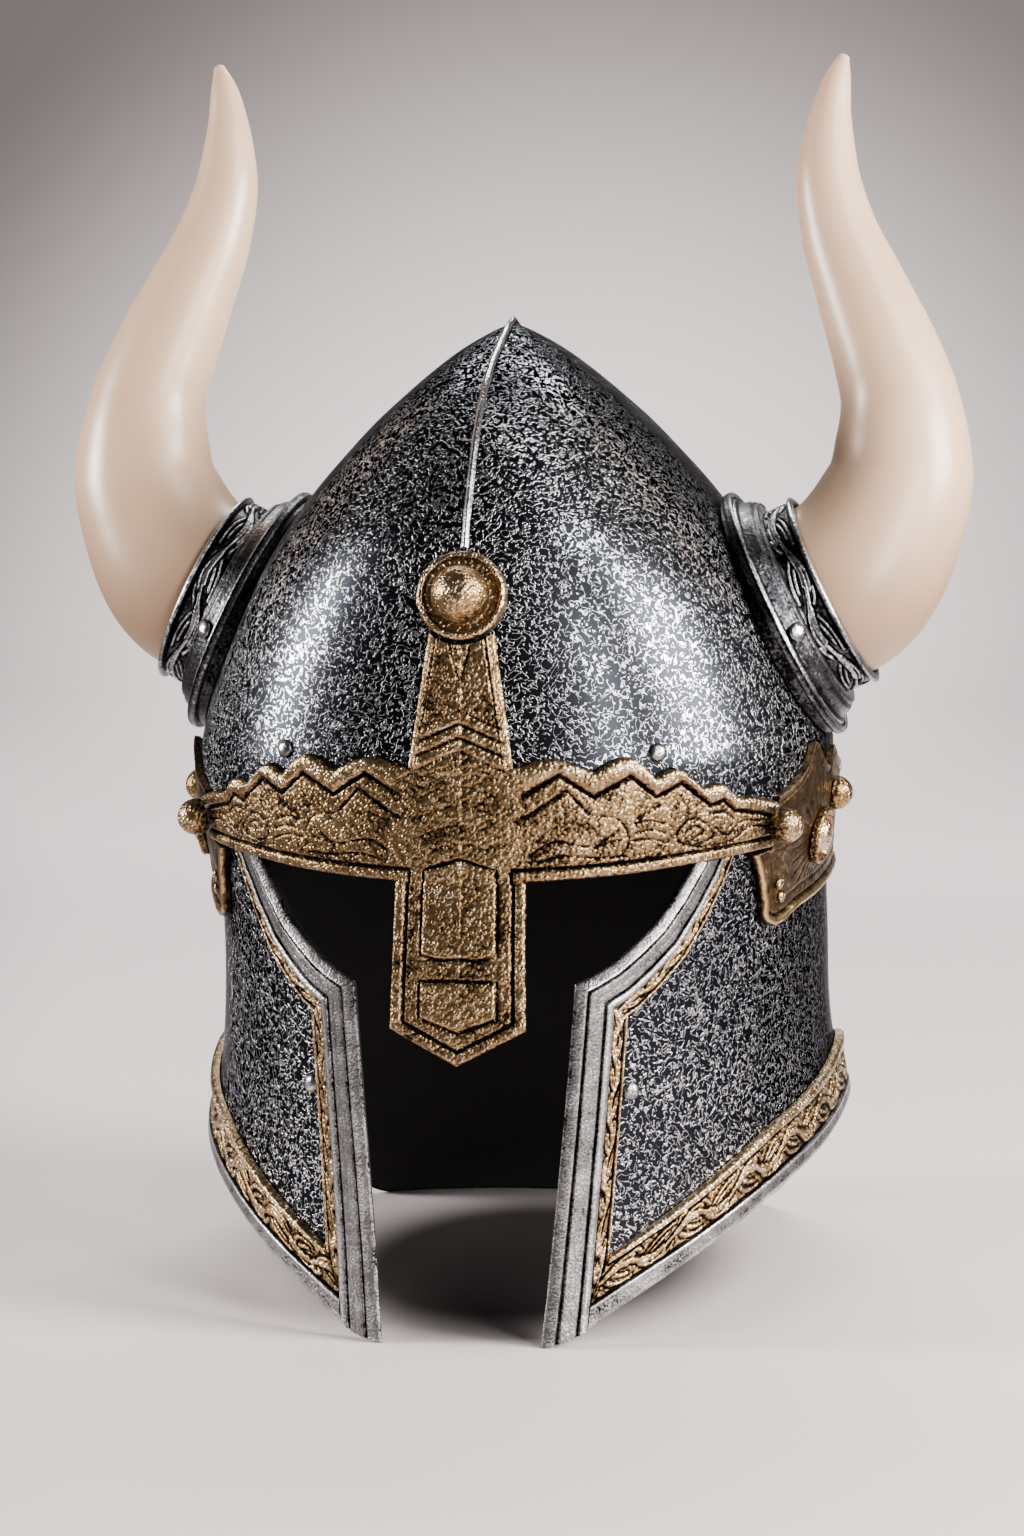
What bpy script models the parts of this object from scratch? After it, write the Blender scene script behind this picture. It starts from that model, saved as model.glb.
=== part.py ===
"""Horned helmet with a face guard, brow band and nasal bar.

Metres, +Z up, z = 0 is the surface the helmet rests on. The front faces -Y and
+X is the wearer's left. Angles around the shell are measured from the front,
positive towards +X.
"""
import bpy
import bmesh
import numpy as np

# Driving dimensions of the shell
HELMET_HEIGHT = 0.3485
HALF_WIDTH = 0.115
FRONT_REACH = 0.121
REAR_REACH = 0.126
PEAK_LEAN = 0.007
WALL = 0.002
PEAK_WALL = 0.0028
GAP = 0.0003
SECTION_POWER = 2.2
KEEL = 0.02
KEEL_START = 0.200

# Face opening, measured on the shell
SEAM_SHARE = 0.4878
SEAM_HEIGHT = HELMET_HEIGHT * SEAM_SHARE
BROW_DROP = 0.0065
BROW_HEIGHT = SEAM_HEIGHT - BROW_DROP
BROW_ANGLE = 39.5
SCOOP_DEPTH = 0.0395
CORNER_HEIGHT = BROW_HEIGHT - SCOOP_DEPTH
CORNER_ANGLE = 18.0
TIP_ANGLE = 12.0
GUARD_INSET = 0.0012

# Bottom rim
RIM_RISE = 0.060
LIP_WIDTH = 0.0060
LIP_PROUD = 0.0030
HEM_WIDTH = 0.0172
HEM_SIDE_WIDTH = 0.0225
HEM_WIDENING = (28.0, 62.0)
HEM_PROUD = 0.0026
HEM_RIDGE = 0.0040

# Silver moulding and gold inlay of the face opening
FRAME_WIDTH = 0.0134
FRAME_PROUD = 0.0032
INLAY_WIDTH = 0.0056
INLAY_PROUD = 0.0022
FRAME_NARROWING = 0.80

# Brow band and nasal bar
BAND_LAP = 0.0112
BAND_WIDTH = 0.0422
BAND_BOTTOM = SEAM_HEIGHT - BAND_LAP
BAND_TOP = BAND_BOTTOM + BAND_WIDTH
BAND_END_ANGLE = 56.5
BAND_PROUD = 0.0046
NASAL_HALF_WIDTH = 0.022
NASAL_BAR_LENGTH = 0.0493
NASAL_POINT_LENGTH = 0.0125
NASAL_SHOULDER = BAND_BOTTOM - NASAL_BAR_LENGTH
NASAL_POINT = NASAL_SHOULDER - NASAL_POINT_LENGTH
NASAL_PROUD = 0.0052
NASAL_THICKNESS = 0.0045
NASAL_FORWARD = 0.0045
NASAL_ROUNDING = 0.0004
ARM_ROOT_HALF_WIDTH = 0.018
ARM_TOP_HALF_WIDTH = 0.0112
ARM_EDGE_PROUD = 0.0018
ARM_LENGTH = 0.0545
BOSS_HEIGHT = BAND_TOP + ARM_LENGTH
BOSS_RADIUS = 0.0155
BOSS_BALL_RADIUS = 0.0100
BOSS_PROUD = 0.0052

# Temple plates, their studs and the band round the nape
PLATE_END_ANGLE = 101.0
PLATE_PROUD = 0.0026
NAPE_LAP = 0.0220
NAPE_WIDTH = 0.0385
NAPE_BOTTOM = SEAM_HEIGHT - NAPE_LAP
NAPE_TOP = NAPE_BOTTOM + NAPE_WIDTH
BROW_STUD_ANGLE = 56.0
BROW_STUD_ABOVE_SEAM = 0.0055
BROW_STUD_HEIGHT = SEAM_HEIGHT + BROW_STUD_ABOVE_SEAM
BROW_STUD_RADIUS = 0.0065
TEMPLE_STUD_ANGLE = 85.0
TEMPLE_STUD_ABOVE_SEAM = 0.0090
TEMPLE_STUD_HEIGHT = SEAM_HEIGHT + TEMPLE_STUD_ABOVE_SEAM
TEMPLE_STUD_RADIUS = 0.0062
TEMPLE_BOSS_ANGLE = 77.0
TEMPLE_BOSS_BELOW_SEAM = 0.0043
TEMPLE_BOSS_HEIGHT = SEAM_HEIGHT - TEMPLE_BOSS_BELOW_SEAM
TEMPLE_BOSS_RADIUS = 0.0105
TEMPLE_BOSS_PROUD = 0.0045
TEMPLE_RIVET_RADIUS = 0.0022

# Crest rib
RIB_WIDTH = 0.0030
RIB_PROUD = 0.0018

# Horn collars and horns
COLLAR_SHARE = 0.4135
COLLAR_HEIGHT = SEAM_HEIGHT + (HELMET_HEIGHT - SEAM_HEIGHT) * COLLAR_SHARE
COLLAR_ANGLE = 87.5
COLLAR_TILT = 26.0
HORN_RADIUS = 0.033
SLEEVE_THICKNESS = 0.004
SLEEVE_RADIUS = HORN_RADIUS + SLEEVE_THICKNESS
SLEEVE_RISE = 0.0112
FLANGE_BRIM = 0.011
FLANGE_RADIUS = SLEEVE_RADIUS + FLANGE_BRIM
FLANGE_RISE = 0.0075
HORN_REACH = 0.0405
HORN_RISE = 0.2013
HORN_LEAN = 0.034
SEAT_CLEARANCE = 0.0006

# Rivets
RIVET_RADIUS = 0.0032
RIVET_RISE = 0.0018
FLANGE_RIVET_RADIUS = 0.0036
FLANGE_RIVETS = 3
FLANGE_RIVET_TURN = 190.0
BROW_RIVET_ANGLE = 32.3
BROW_RIVET_ABOVE_BAND = 0.0010
BROW_RIVET_HEIGHT = BAND_TOP + BROW_RIVET_ABOVE_BAND
CHEEK_RIVET_HEIGHT = 0.0856

# Shell sections. Columns: height as a share of HELMET_HEIGHT, half width as a
# share of HALF_WIDTH, front and rear reach as shares of theirs, and how much
# narrower than its half width the section is in front, and wider behind.
SHELL_ROWS = np.array([
    (0.000, 1.040, 1.091, 1.024, 0.150),
    (0.072, 1.030, 1.058, 1.008, 0.150),
    (0.172, 1.002, 1.038, 1.004, 0.150),
    (0.264, 0.967, 1.030, 1.000, 0.115),
    (0.359, 0.960, 1.025, 1.000, 0.105),
    (0.473, 0.977, 1.000, 1.000, 0.030),
    (0.517, 0.996, 1.000, 1.000, 0.000),
    (0.560, 1.000, 0.996, 0.996, 0.000),
    (0.588, 0.986, 0.990, 0.988, 0.000),
    (0.631, 0.950, 0.980, 0.972, 0.000),
    (0.689, 0.884, 0.960, 0.944, 0.000),
    (0.737, 0.811, 0.930, 0.913, 0.000),
    (0.786, 0.714, 0.884, 0.869, 0.000),
    (0.834, 0.603, 0.796, 0.782, 0.000),
    (0.865, 0.519, 0.730, 0.710, 0.000),
    (0.895, 0.433, 0.653, 0.635, 0.000),
    (0.925, 0.334, 0.545, 0.528, 0.000),
    (0.955, 0.227, 0.393, 0.378, 0.000),
    (0.976, 0.141, 0.236, 0.226, 0.000),
    (0.991, 0.061, 0.112, 0.107, 0.000),
    (1.000, 0.000, 0.000, 0.000, 0.000),
])

# Vertical edge of the face opening, tip to corner. Columns: share of
# CORNER_HEIGHT, share of the way from TIP_ANGLE to CORNER_ANGLE.
EDGE_ROWS = np.array([
    (0.00, 0.00),
    (0.15, 0.19),
    (0.37, 0.43),
    (0.62, 0.68),
    (0.85, 0.88),
    (1.00, 1.00),
])

# Scooped top of the cheek, corner to brow. Columns: share of the way from
# CORNER_ANGLE to BROW_ANGLE, share of the way from CORNER_HEIGHT to
# BROW_HEIGHT. The last row runs on under the brow band.
SCOOP_ROWS = np.array([
    (0.00, 0.00),
    (0.14, 0.073),
    (0.28, 0.157),
    (0.465, 0.31),
    (0.65, 0.48),
    (0.837, 0.73),
    (1.00, 1.00),
    (1.15, 1.35),
])

# Bottom rim. Columns: angle, share of RIM_RISE.
RIM_ROWS = np.array([
    (12.0, 0.000),
    (16.5, 0.045),
    (20.5, 0.125),
    (25.0, 0.215),
    (31.0, 0.320),
    (40.0, 0.455),
    (52.0, 0.610),
    (65.0, 0.740),
    (77.0, 0.830),
    (90.0, 0.920),
    (100.0, 0.985),
    (106.0, 1.000),
    (115.0, 0.970),
    (125.0, 0.820),
    (134.0, 0.450),
    (141.0, 0.120),
    (148.0, 0.000),
    (160.0, 0.000),
    (180.0, 0.000),
])

# Scallops of the brow band. Columns: angle, share of the band's height.
SCALLOP_ROWS = np.array([
    (0.0, 0.88),
    (7.2, 0.89),
    (10.5, 0.965),
    (14.6, 1.00),
    (18.0, 0.965),
    (21.0, 0.905),
    (23.5, 0.965),
    (26.3, 1.00),
    (28.8, 0.95),
    (31.2, 0.845),
    (34.3, 0.905),
    (37.0, 0.83),
    (39.4, 0.735),
    (42.8, 0.76),
    (46.0, 0.64),
    (50.0, 0.62),
    (56.5, 0.55),
])

# Lower edge of the brow band. Columns: angle, share of the band's height.
BAND_FOOT_ROWS = np.array([
    (0.0, 0.00),
    (10.0, 0.01),
    (28.0, 0.065),
    (39.0, 0.115),
    (56.5, 0.175),
])

# Temple plate outline. Columns: angle, share of the band's height.
PLATE_TOP_ROWS = np.array([
    (57.2, 0.585),
    (62.0, 0.665),
    (67.0, 0.785),
    (71.2, 0.960),
    (75.0, 0.820),
    (79.5, 0.730),
    (83.0, 0.890),
    (87.0, 0.800),
    (101.0, 0.655),
])
PLATE_FOOT_ROWS = np.array([
    (60.9, -0.540),
    (63.5, -0.520),
    (69.0, -0.440),
    (79.0, -0.375),
    (90.0, -0.315),
    (101.0, -0.255),
])
# Front edge of the hanging lobe. Columns: share of the band's height, angle.
PLATE_FRONT_ROWS = np.array([
    (-0.540, 60.9),
    (-0.500, 58.6),
    (-0.320, 56.4),
    (-0.100, 54.6),
    (0.020, 53.2),
    (0.120, 51.6),
])

# Horn centre-line beyond the collar. Columns: share of HORN_REACH, share of
# HORN_RISE, diameter as a share of the one in the collar.
HORN_ROWS = np.array([
    (0.885, 0.172, 0.864),
    (0.985, 0.235, 0.805),
    (1.000, 0.305, 0.740),
    (0.960, 0.385, 0.650),
    (0.850, 0.455, 0.600),
    (0.620, 0.570, 0.514),
    (0.395, 0.685, 0.421),
    (0.290, 0.800, 0.332),
    (0.310, 0.895, 0.225),
    (0.375, 0.965, 0.130),
    (0.410, 0.990, 0.070),
])

# Flange from its skirt inwards. Columns: share of FLANGE_RADIUS, share of
# FLANGE_RISE.
FLANGE_ROWS = [
    (0.955, -0.42),
    (0.995, -0.38),
    (1.000, -0.12),
    (0.975, 0.05),
    (0.925, 0.10),
    (0.870, 0.48),
    (0.800, 1.00),
]

# Sleeve from foot to mouth. Columns: share of SLEEVE_RADIUS, share of
# SLEEVE_RISE.
SLEEVE_ROWS = [
    (0.985, 0.00),
    (0.955, 0.15),
    (0.955, 0.72),
    (1.000, 0.82),
    (1.000, 0.95),
    (0.970, 1.00),
]

# Colours of the finishes, linear, with metallic and roughness
FINISHES = {
    "steel": ((0.115, 0.125, 0.140), 0.85, 0.42),
    "silver": ((0.330, 0.330, 0.335), 0.90, 0.38),
    "gold": ((0.330, 0.215, 0.105), 0.90, 0.42),
    "bronze": ((0.180, 0.115, 0.060), 0.90, 0.48),
    "pewter": ((0.075, 0.075, 0.080), 0.85, 0.40),
    "ivory": ((0.760, 0.640, 0.520), 0.00, 0.28),
}


def clear_scene():
    """Remove whatever the scene holds."""
    for old in list(bpy.data.objects):
        bpy.data.objects.remove(old, do_unlink=True)


def smooth(param, rows, at):
    """Cubic Hermite curve through rows; a row beside a level stretch is level."""
    param = np.asarray(param, dtype=float)
    rows = np.asarray(rows, dtype=float).reshape(len(param), -1)
    at = np.asarray(at, dtype=float)
    slopes = np.gradient(rows, param, axis=0)
    steps = np.diff(rows, axis=0)
    level = steps[:-1] * steps[1:] <= 0
    slopes[1:-1][level] = 0.0
    index = np.clip(np.searchsorted(param, at) - 1, 0, len(param) - 2)
    span = param[index + 1] - param[index]
    t = ((at - param[index]) / span)[..., None]
    span = span[..., None]
    value = (rows[index] * (1 + 2 * t) * (1 - t) ** 2
             + slopes[index] * span * t * (1 - t) ** 2
             + rows[index + 1] * t ** 2 * (3 - 2 * t)
             + slopes[index + 1] * span * t ** 2 * (t - 1))
    return value


def chord(rows):
    """Running length along a line of rows."""
    steps = np.linalg.norm(np.diff(rows, axis=0), axis=1)
    return np.concatenate([[0.0], np.cumsum(steps)])


def dense_sections(count=600):
    """Heights and reaches of the shell, sampled finely from foot to peak."""
    rows = SHELL_ROWS * (HELMET_HEIGHT, HALF_WIDTH, FRONT_REACH, REAR_REACH, 1.0)
    along = chord(rows[:, :4])
    return smooth(along, rows, np.linspace(0, along[-1], count))


SECTIONS = dense_sections()


def reaches(z):
    """Half width, front and rear reach, and narrowing of the section at height z."""
    values = [np.interp(z, SECTIONS[:, 0], SECTIONS[:, k]) for k in (1, 2, 3, 4)]
    return [np.maximum(v, 1e-6) for v in values]


def lean(z):
    """How far the section's centre stands forward at height z."""
    share = np.clip((z - KEEL_START) / (HELMET_HEIGHT - KEEL_START), 0, 1)
    return PEAK_LEAN * share ** 2


def section_radius(angle, z):
    """Polar radius of the section: an egg-shaped superellipse with a slight keel."""
    side, front, rear, narrowing = reaches(z)
    s, c = np.abs(np.sin(angle)), np.cos(angle)
    side = side * (1 - narrowing * c)
    keel = KEEL * np.clip((z - KEEL_START) / (HELMET_HEIGHT - KEEL_START), 0, 1) ** 0.5
    reach = np.where(c > 0, front, rear) / (1 + keel)
    power = SECTION_POWER
    radius = ((s / side) ** power + (np.abs(c) / reach) ** power) ** (-1 / power)
    return radius * (1 + keel * (1 - s) ** 5)


def skin(angle, z):
    """Point of the shell's outer face at an angle in degrees and a height."""
    angle = np.radians(angle)
    radius = section_radius(angle, z)
    return np.stack([radius * np.sin(angle),
                     -radius * np.cos(angle) - lean(z),
                     np.broadcast_to(z, radius.shape)], -1)


def unit(v):
    """Vectors scaled to length one."""
    return v / np.linalg.norm(v, axis=-1, keepdims=True)


def skin_normal(angle, z, turn=0.5, lift=0.0008):
    """Outward normal of the shell, from small steps around and up."""
    around = skin(angle + turn, z) - skin(angle - turn, z)
    up = skin(angle, z + lift) - skin(angle, z - lift)
    return unit(np.cross(around, up))


def on_shell(angle, z, off):
    """Point that stands off the shell's outer face by off, along its normal."""
    angle, z = np.broadcast_arrays(np.asarray(angle, float), np.asarray(z, float))
    off = np.broadcast_to(off, angle.shape)
    return skin(angle, z) + skin_normal(angle, z) * off[..., None]


# Lengths around the shell are laid out on this radius
UNROLL = (HALF_WIDTH + FRONT_REACH) / 2


def to_flat(angle, z):
    """Angle and height as a flat layout, in metres."""
    return np.stack([np.radians(angle) * UNROLL, z], -1)


def to_angle(flat):
    """Angle in degrees and height of points in the flat layout."""
    return np.degrees(flat[..., 0] / UNROLL), flat[..., 1]


def band_height(share):
    """Height of a share of the brow band."""
    return BAND_BOTTOM + (BAND_TOP - BAND_BOTTOM) * np.asarray(share)


def band_foot(angle):
    """Lower edge of the brow band."""
    rows = BAND_FOOT_ROWS
    return band_height(smooth(rows[:, 0], rows[:, 1], np.abs(angle))[..., 0])


def band_crown(angle):
    """Scalloped upper edge of the brow band."""
    rows = SCALLOP_ROWS
    return band_height(smooth(rows[:, 0], rows[:, 1], np.abs(angle))[..., 0])


def rim_height(angle):
    """Height of the bottom rim, the same on both sides."""
    away = np.where(angle > 180, 360 - angle, angle)
    return smooth(RIM_ROWS[:, 0], RIM_ROWS[:, 1], away)[..., 0] * RIM_RISE


def scoop_line():
    """Top of the cheek in the flat layout, corner to brow."""
    angle = CORNER_ANGLE + (BROW_ANGLE - CORNER_ANGLE) * SCOOP_ROWS[:, 0]
    z = CORNER_HEIGHT + (BROW_HEIGHT - CORNER_HEIGHT) * SCOOP_ROWS[:, 1]
    return to_flat(angle, z)


def edge_line():
    """Side of the face opening in the flat layout, tip to corner."""
    angle = TIP_ANGLE + (CORNER_ANGLE - TIP_ANGLE) * EDGE_ROWS[:, 1]
    return to_flat(angle, CORNER_HEIGHT * EDGE_ROWS[:, 0])


def offset_line(line, distance):
    """Line moved to its right-hand side, mitred at its corners."""
    step = unit(np.diff(line, axis=0))
    right = np.stack([step[:, 1], -step[:, 0]], -1)
    before = np.vstack([right[:1], right])
    after = np.vstack([right, right[-1:]])
    bisector = unit(before + after)
    stretch = 1 / np.maximum((bisector * before).sum(1), 0.4)
    return line + bisector * (stretch * distance)[:, None]


def opening_offset(distance):
    """Face opening's edge moved into the metal, tip to brow."""
    edge, scoop = edge_line(), scoop_line()
    line = np.vstack([edge, scoop[1:]])
    share = np.concatenate([np.ones(len(edge)), 1 - (1 - FRAME_NARROWING) * SCOOP_ROWS[1:, 1]])
    return offset_line(line, distance * share)


def rim_offset(distance, count=121):
    """Bottom rim moved up into the metal, cheek tip to middle of the back."""
    start = RIM_ROWS[0, 0]
    angle = np.linspace(start, 180, count)
    line = to_flat(angle, rim_height(angle))
    left = offset_line(line, -np.broadcast_to(distance, (count,)))
    left[-1, 0] = line[-1, 0]
    return left


def hem_share(angle):
    """How far the hem has widened towards the side, 0 to 1."""
    away = np.where(angle > 180, 360 - angle, angle)
    start, end = HEM_WIDENING
    return np.clip((away - start) / (end - start), 0, 1)


def hem_offset(share, count=121):
    """Line at a share of the gold hem's width above the silver lip."""
    angle = np.linspace(RIM_ROWS[0, 0], 180, count)
    top = HEM_WIDTH + (HEM_SIDE_WIDTH - HEM_WIDTH) * hem_share(angle)
    foot = LIP_WIDTH + GAP
    return rim_offset(foot + (top - foot) * share, count)


def crossing(steep, flat):
    """Where a steep line, given from its foot up, first rises past a flat one.

    Gives the index of the first point above the crossing, and the crossing. The
    steep line is first run on below its foot by one step.
    """
    order = np.argsort(flat[:, 0])
    steep = np.vstack([2 * steep[0] - steep[1], steep])
    over = steep[:, 1] - np.interp(steep[:, 0], flat[order, 0], flat[order, 1])
    k = int(np.argmax(over > 0))
    t = -over[k - 1] / (over[k] - over[k - 1])
    return k - 1, steep[k - 1] + t * (steep[k] - steep[k - 1])


def dense(line, per_step=8):
    """Line with more points on each of its straight steps."""
    t = np.linspace(0, len(line) - 1, (len(line) - 1) * per_step + 1)
    k = np.minimum(t.astype(int), len(line) - 2)
    return line[k] + (t - k)[:, None] * (line[k + 1] - line[k])


def grid_faces(rows, columns):
    """Quads of a grid of points, row after row."""
    i, j = np.meshgrid(np.arange(rows - 1), np.arange(columns - 1), indexing="ij")
    a = (i * columns + j).ravel()
    return np.stack([a, a + 1, a + columns + 1, a + columns], 1)


def slab(top, base, mask=None):
    """Closed solid between two grids of points, where mask keeps a cell."""
    rows, columns = top.shape[:2]
    points = np.vstack([top.reshape(-1, 3), base.reshape(-1, 3)])
    quads = grid_faces(rows, columns)
    keep = np.ones((rows - 1, columns - 1), bool) if mask is None else mask
    quads = quads[keep.ravel()]
    sides = np.stack([quads, np.roll(quads, -1, axis=1)], -1).reshape(-1, 2)
    low = np.sort(sides, axis=1)
    _, first, count = np.unique(low, axis=0, return_index=True, return_counts=True)
    border = sides[first[count == 1]]
    lift = rows * columns
    walls = np.stack([border[:, 1], border[:, 0], border[:, 0] + lift, border[:, 1] + lift], 1)
    faces = np.vstack([quads, quads[:, ::-1] + lift, walls])
    return points, faces.tolist()


def loop_solid(rings, close_tube=False, foot=None, tip=None):
    """Solid from rings of points: a tube onto itself, or with its ends closed.

    foot and tip, where given, are single points that close the ends; otherwise
    an end is closed by one flat face.
    """
    rings = np.asarray(rings)
    count, around = rings.shape[:2]
    points = rings.reshape(-1, 3)
    faces = []
    last = count if close_tube else count - 1
    turn = np.arange(around)
    for k in range(last):
        a, b = k * around, ((k + 1) % count) * around
        ahead = (turn + 1) % around
        faces += np.stack([a + turn, a + ahead, b + ahead, b + turn], 1).tolist()
    if close_tube:
        return points, faces
    for end, closing in ((0, foot), (count - 1, tip)):
        ring = end * around + turn
        if closing is None:
            faces.append(ring.tolist())
        else:
            points = np.vstack([points, closing])
            apex = len(points) - 1
            faces += [[int(i), int(j), apex] for i, j in zip(ring, np.roll(ring, -1))]
    return points, faces


def material(name, finish):
    """Principled material of one sub-part."""
    colour, metallic, roughness = FINISHES[finish]
    mat = bpy.data.materials.new(name)
    mat.use_nodes = True
    shader = mat.node_tree.nodes["Principled BSDF"]
    shader.inputs["Base Color"].default_value = (*colour, 1.0)
    shader.inputs["Metallic"].default_value = metallic
    shader.inputs["Roughness"].default_value = roughness
    return mat


def add_piece(name, solid, finish):
    """Object of one sub-part, with its faces pointing out and flats kept sharp."""
    points, faces = solid
    mesh = bpy.data.meshes.new(name)
    used = sorted({i for face in faces for i in face})
    place = {old: new for new, old in enumerate(used)}
    mesh.from_pydata(np.asarray(points)[used].tolist(), [],
                     [[place[i] for i in face] for face in faces])
    bm = bmesh.new()
    bm.from_mesh(mesh)
    bmesh.ops.recalc_face_normals(bm, faces=bm.faces)
    bmesh.ops.triangulate(bm, faces=bm.faces)
    bm.to_mesh(mesh)
    bm.free()
    mesh.shade_smooth()
    mesh.set_sharp_from_angle(angle=np.radians(35))
    obj = bpy.data.objects.new(name, mesh)
    obj.data.materials.append(material(name, finish))
    bpy.context.collection.objects.link(obj)
    return obj


def add_pair(name, solid, finish):
    """The same sub-part on the wearer's left and, mirrored, on the right."""
    points, faces = solid
    add_piece(name + "_L", (points, faces), finish)
    add_piece(name + "_R", (np.asarray(points) * (-1, 1, 1), faces), finish)


def build_skull(around=34, rows=11):
    """Dome above the seam: outer rings to the peak, inner rings back to the seam."""
    start = np.searchsorted(SECTIONS[:, 0], SEAM_HEIGHT)
    station = np.linspace(start, len(SECTIONS) - 1, rows + 1)[:-1]
    height = np.interp(station, np.arange(len(SECTIONS)), SECTIONS[:, 0])
    height[0] = SEAM_HEIGHT
    turn = np.linspace(0, 2 * np.pi, around, endpoint=False)
    rings = []
    for z in height:
        side, front, rear, _ = reaches(z)
        reach = np.where(np.cos(turn) > 0, front, rear)
        angle = np.degrees(np.arctan2(side * np.sin(turn), reach * np.cos(turn)))
        rings.append((angle, np.full(around, z)))
    outer = np.array([on_shell(a, z, 0.0) for a, z in rings])
    inner = np.array([on_shell(a, z, -WALL) for a, z in rings])
    inner[0, :, 2] = SEAM_HEIGHT
    points = np.vstack([outer.reshape(-1, 3), inner.reshape(-1, 3)])
    count = rows * around
    turn = np.arange(around)
    ahead = (turn + 1) % around
    faces = []
    for shift in (0, count):
        for k in range(rows - 1):
            a, b = shift + k * around, shift + (k + 1) * around
            faces += np.stack([a + turn, a + ahead, b + ahead, b + turn], 1).tolist()
    faces += np.stack([turn, ahead, ahead + count, turn + count], 1).tolist()
    peak = np.array([0, -PEAK_LEAN, HELMET_HEIGHT])
    points = np.vstack([points, peak, peak - (0, 0, PEAK_WALL)])
    for shift, apex in ((0, 2 * count), (count, 2 * count + 1)):
        ring = shift + (rows - 1) * around + turn
        faces += [[int(i), int(j), apex] for i, j in zip(ring, np.roll(ring, -1))]
    add_piece("skull", (points, faces), "steel")


def build_face_guard(rows=7):
    """Lower shell: columns from the rim up to the opening's edge or the seam."""
    edge = opening_offset(GUARD_INSET)
    rim = rim_offset(GUARD_INSET)
    k, tip = crossing(dense(edge), rim)
    line = dense(edge)[k:]
    line = np.vstack([tip, line])
    brow = SEAM_HEIGHT - GAP
    under = int(np.argmax(line[:, 1] > brow))
    share = (brow - line[under - 1, 1]) / (line[under, 1] - line[under - 1, 1])
    end = line[under - 1] + share * (line[under] - line[under - 1])
    corner = CORNER_ANGLE + np.degrees(GUARD_INSET / UNROLL)
    picks_edge = [tip[0], *np.interp([0.3, 0.7], line[:under, 1] / CORNER_HEIGHT, line[:under, 0])]
    picks_scoop = np.radians(np.linspace(corner, np.degrees(end[0] / UNROLL), 7)) * UNROLL
    s_front = np.concatenate([picks_edge, picks_scoop])
    top_front = np.interp(s_front, line[:under, 0], line[:under, 1])
    top_front[-1] = brow
    last = np.degrees(s_front[-1] / UNROLL)
    s_back = np.radians(np.linspace(last, 180, 19)[1:]) * UNROLL
    s = np.concatenate([s_front, s_back])
    top = np.concatenate([top_front, np.full(len(s_back), brow)])
    order = np.argsort(rim[:, 0])
    foot = np.interp(s, rim[order, 0], rim[order, 1])
    foot = np.minimum(foot, top)
    angle = np.degrees(s / UNROLL)
    angle = np.concatenate([angle, 360 - angle[-2::-1]])
    foot = np.concatenate([foot, foot[-2::-1]])
    top = np.concatenate([top, top[-2::-1]])
    share = np.linspace(0, 1, rows)[:, None] ** 1.2
    z = foot + (top - foot) * share
    outer = on_shell(angle, z, 0.0)
    inner = on_shell(angle, z, -WALL)
    inner[..., 2] = z
    add_piece("face_guard", weld_slab(outer, inner), "steel")


def weld_slab(top, base):
    """Slab whose first and last columns shrink to a point at each cheek tip."""
    points, faces = slab(top, base)
    key = np.round(points, 7)
    _, first, which = np.unique(key, axis=0, return_index=True, return_inverse=True)
    which = which.ravel()
    welded = []
    for face in faces:
        loop = []
        for index in face:
            index = int(first[which[index]])
            if not loop or (loop[-1] != index and loop[0] != index):
                loop.append(index)
        if len(loop) > 2:
            welded.append(loop)
    return points, welded


def strip(lines, heights, level=None):
    """Moulding laid on the shell between lines of the flat layout.

    level picks the points that keep the height of their line, so that the
    moulding is cut level there instead of square to the shell.
    """
    angle, z = to_angle(np.array(lines))
    top = on_shell(angle, z, np.asarray(heights)[:, None])
    under = on_shell(angle, z, SEAT_CLEARANCE)
    if level is not None:
        top[level + (2,)] = under[level + (2,)] = z[level]
    return slab(top, under)


def clip_brow(line):
    """Line along the opening, cut just below the brow band, brow first."""
    angle, z = to_angle(line)
    over = z - (band_foot(np.minimum(angle, BAND_END_ANGLE)) - GAP)
    k = int(np.argmax(over > 0))
    t = -over[k - 1] / (over[k] - over[k - 1])
    return k, line[k - 1] + t * (line[k] - line[k - 1])


def opening_strip_line(distance, foot_line, per_step=4, stations=(6, 9)):
    """Line along the opening at a distance, cut by a foot line and the brow band.

    Its points are spread evenly over the side and over the scooped top, so that
    every such line has its corner at the same place.
    """
    line = opening_offset(distance)
    corner = len(EDGE_ROWS) - 1
    side, scoop = dense(line[:corner + 1], per_step), dense(line[corner:], per_step)
    k, foot = crossing(side, foot_line)
    side = np.vstack([foot, side[k:]])
    k, head = clip_brow(scoop)
    scoop = np.vstack([scoop[:k], head])
    parts = []
    for part, count in ((side, stations[0]), (scoop, stations[1])):
        along = chord(part)
        at = np.linspace(0, along[-1], count)
        parts.append(np.stack([np.interp(at, along, part[:, c]) for c in (0, 1)], 1))
    return np.vstack([parts[0], parts[1][1:]])


def build_face_frame():
    """Silver moulding: bevel, groove, flat and bead along the face opening."""
    # Columns: share of FRAME_WIDTH, share of FRAME_PROUD
    rows = [(0.0, 0.45), (0.27, 1.0), (0.30, 0.62), (0.36, 0.90), (0.76, 0.85), (0.80, 1.0), (1.0, 1.0)]
    rim = rim_offset(0.0)
    lines = [opening_strip_line(FRAME_WIDTH * share, rim) for share, _ in rows]
    heights = [FRAME_PROUD * h for _, h in rows]
    add_pair("face_frame", strip(lines, heights, (slice(None), 0)), "silver")


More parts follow.
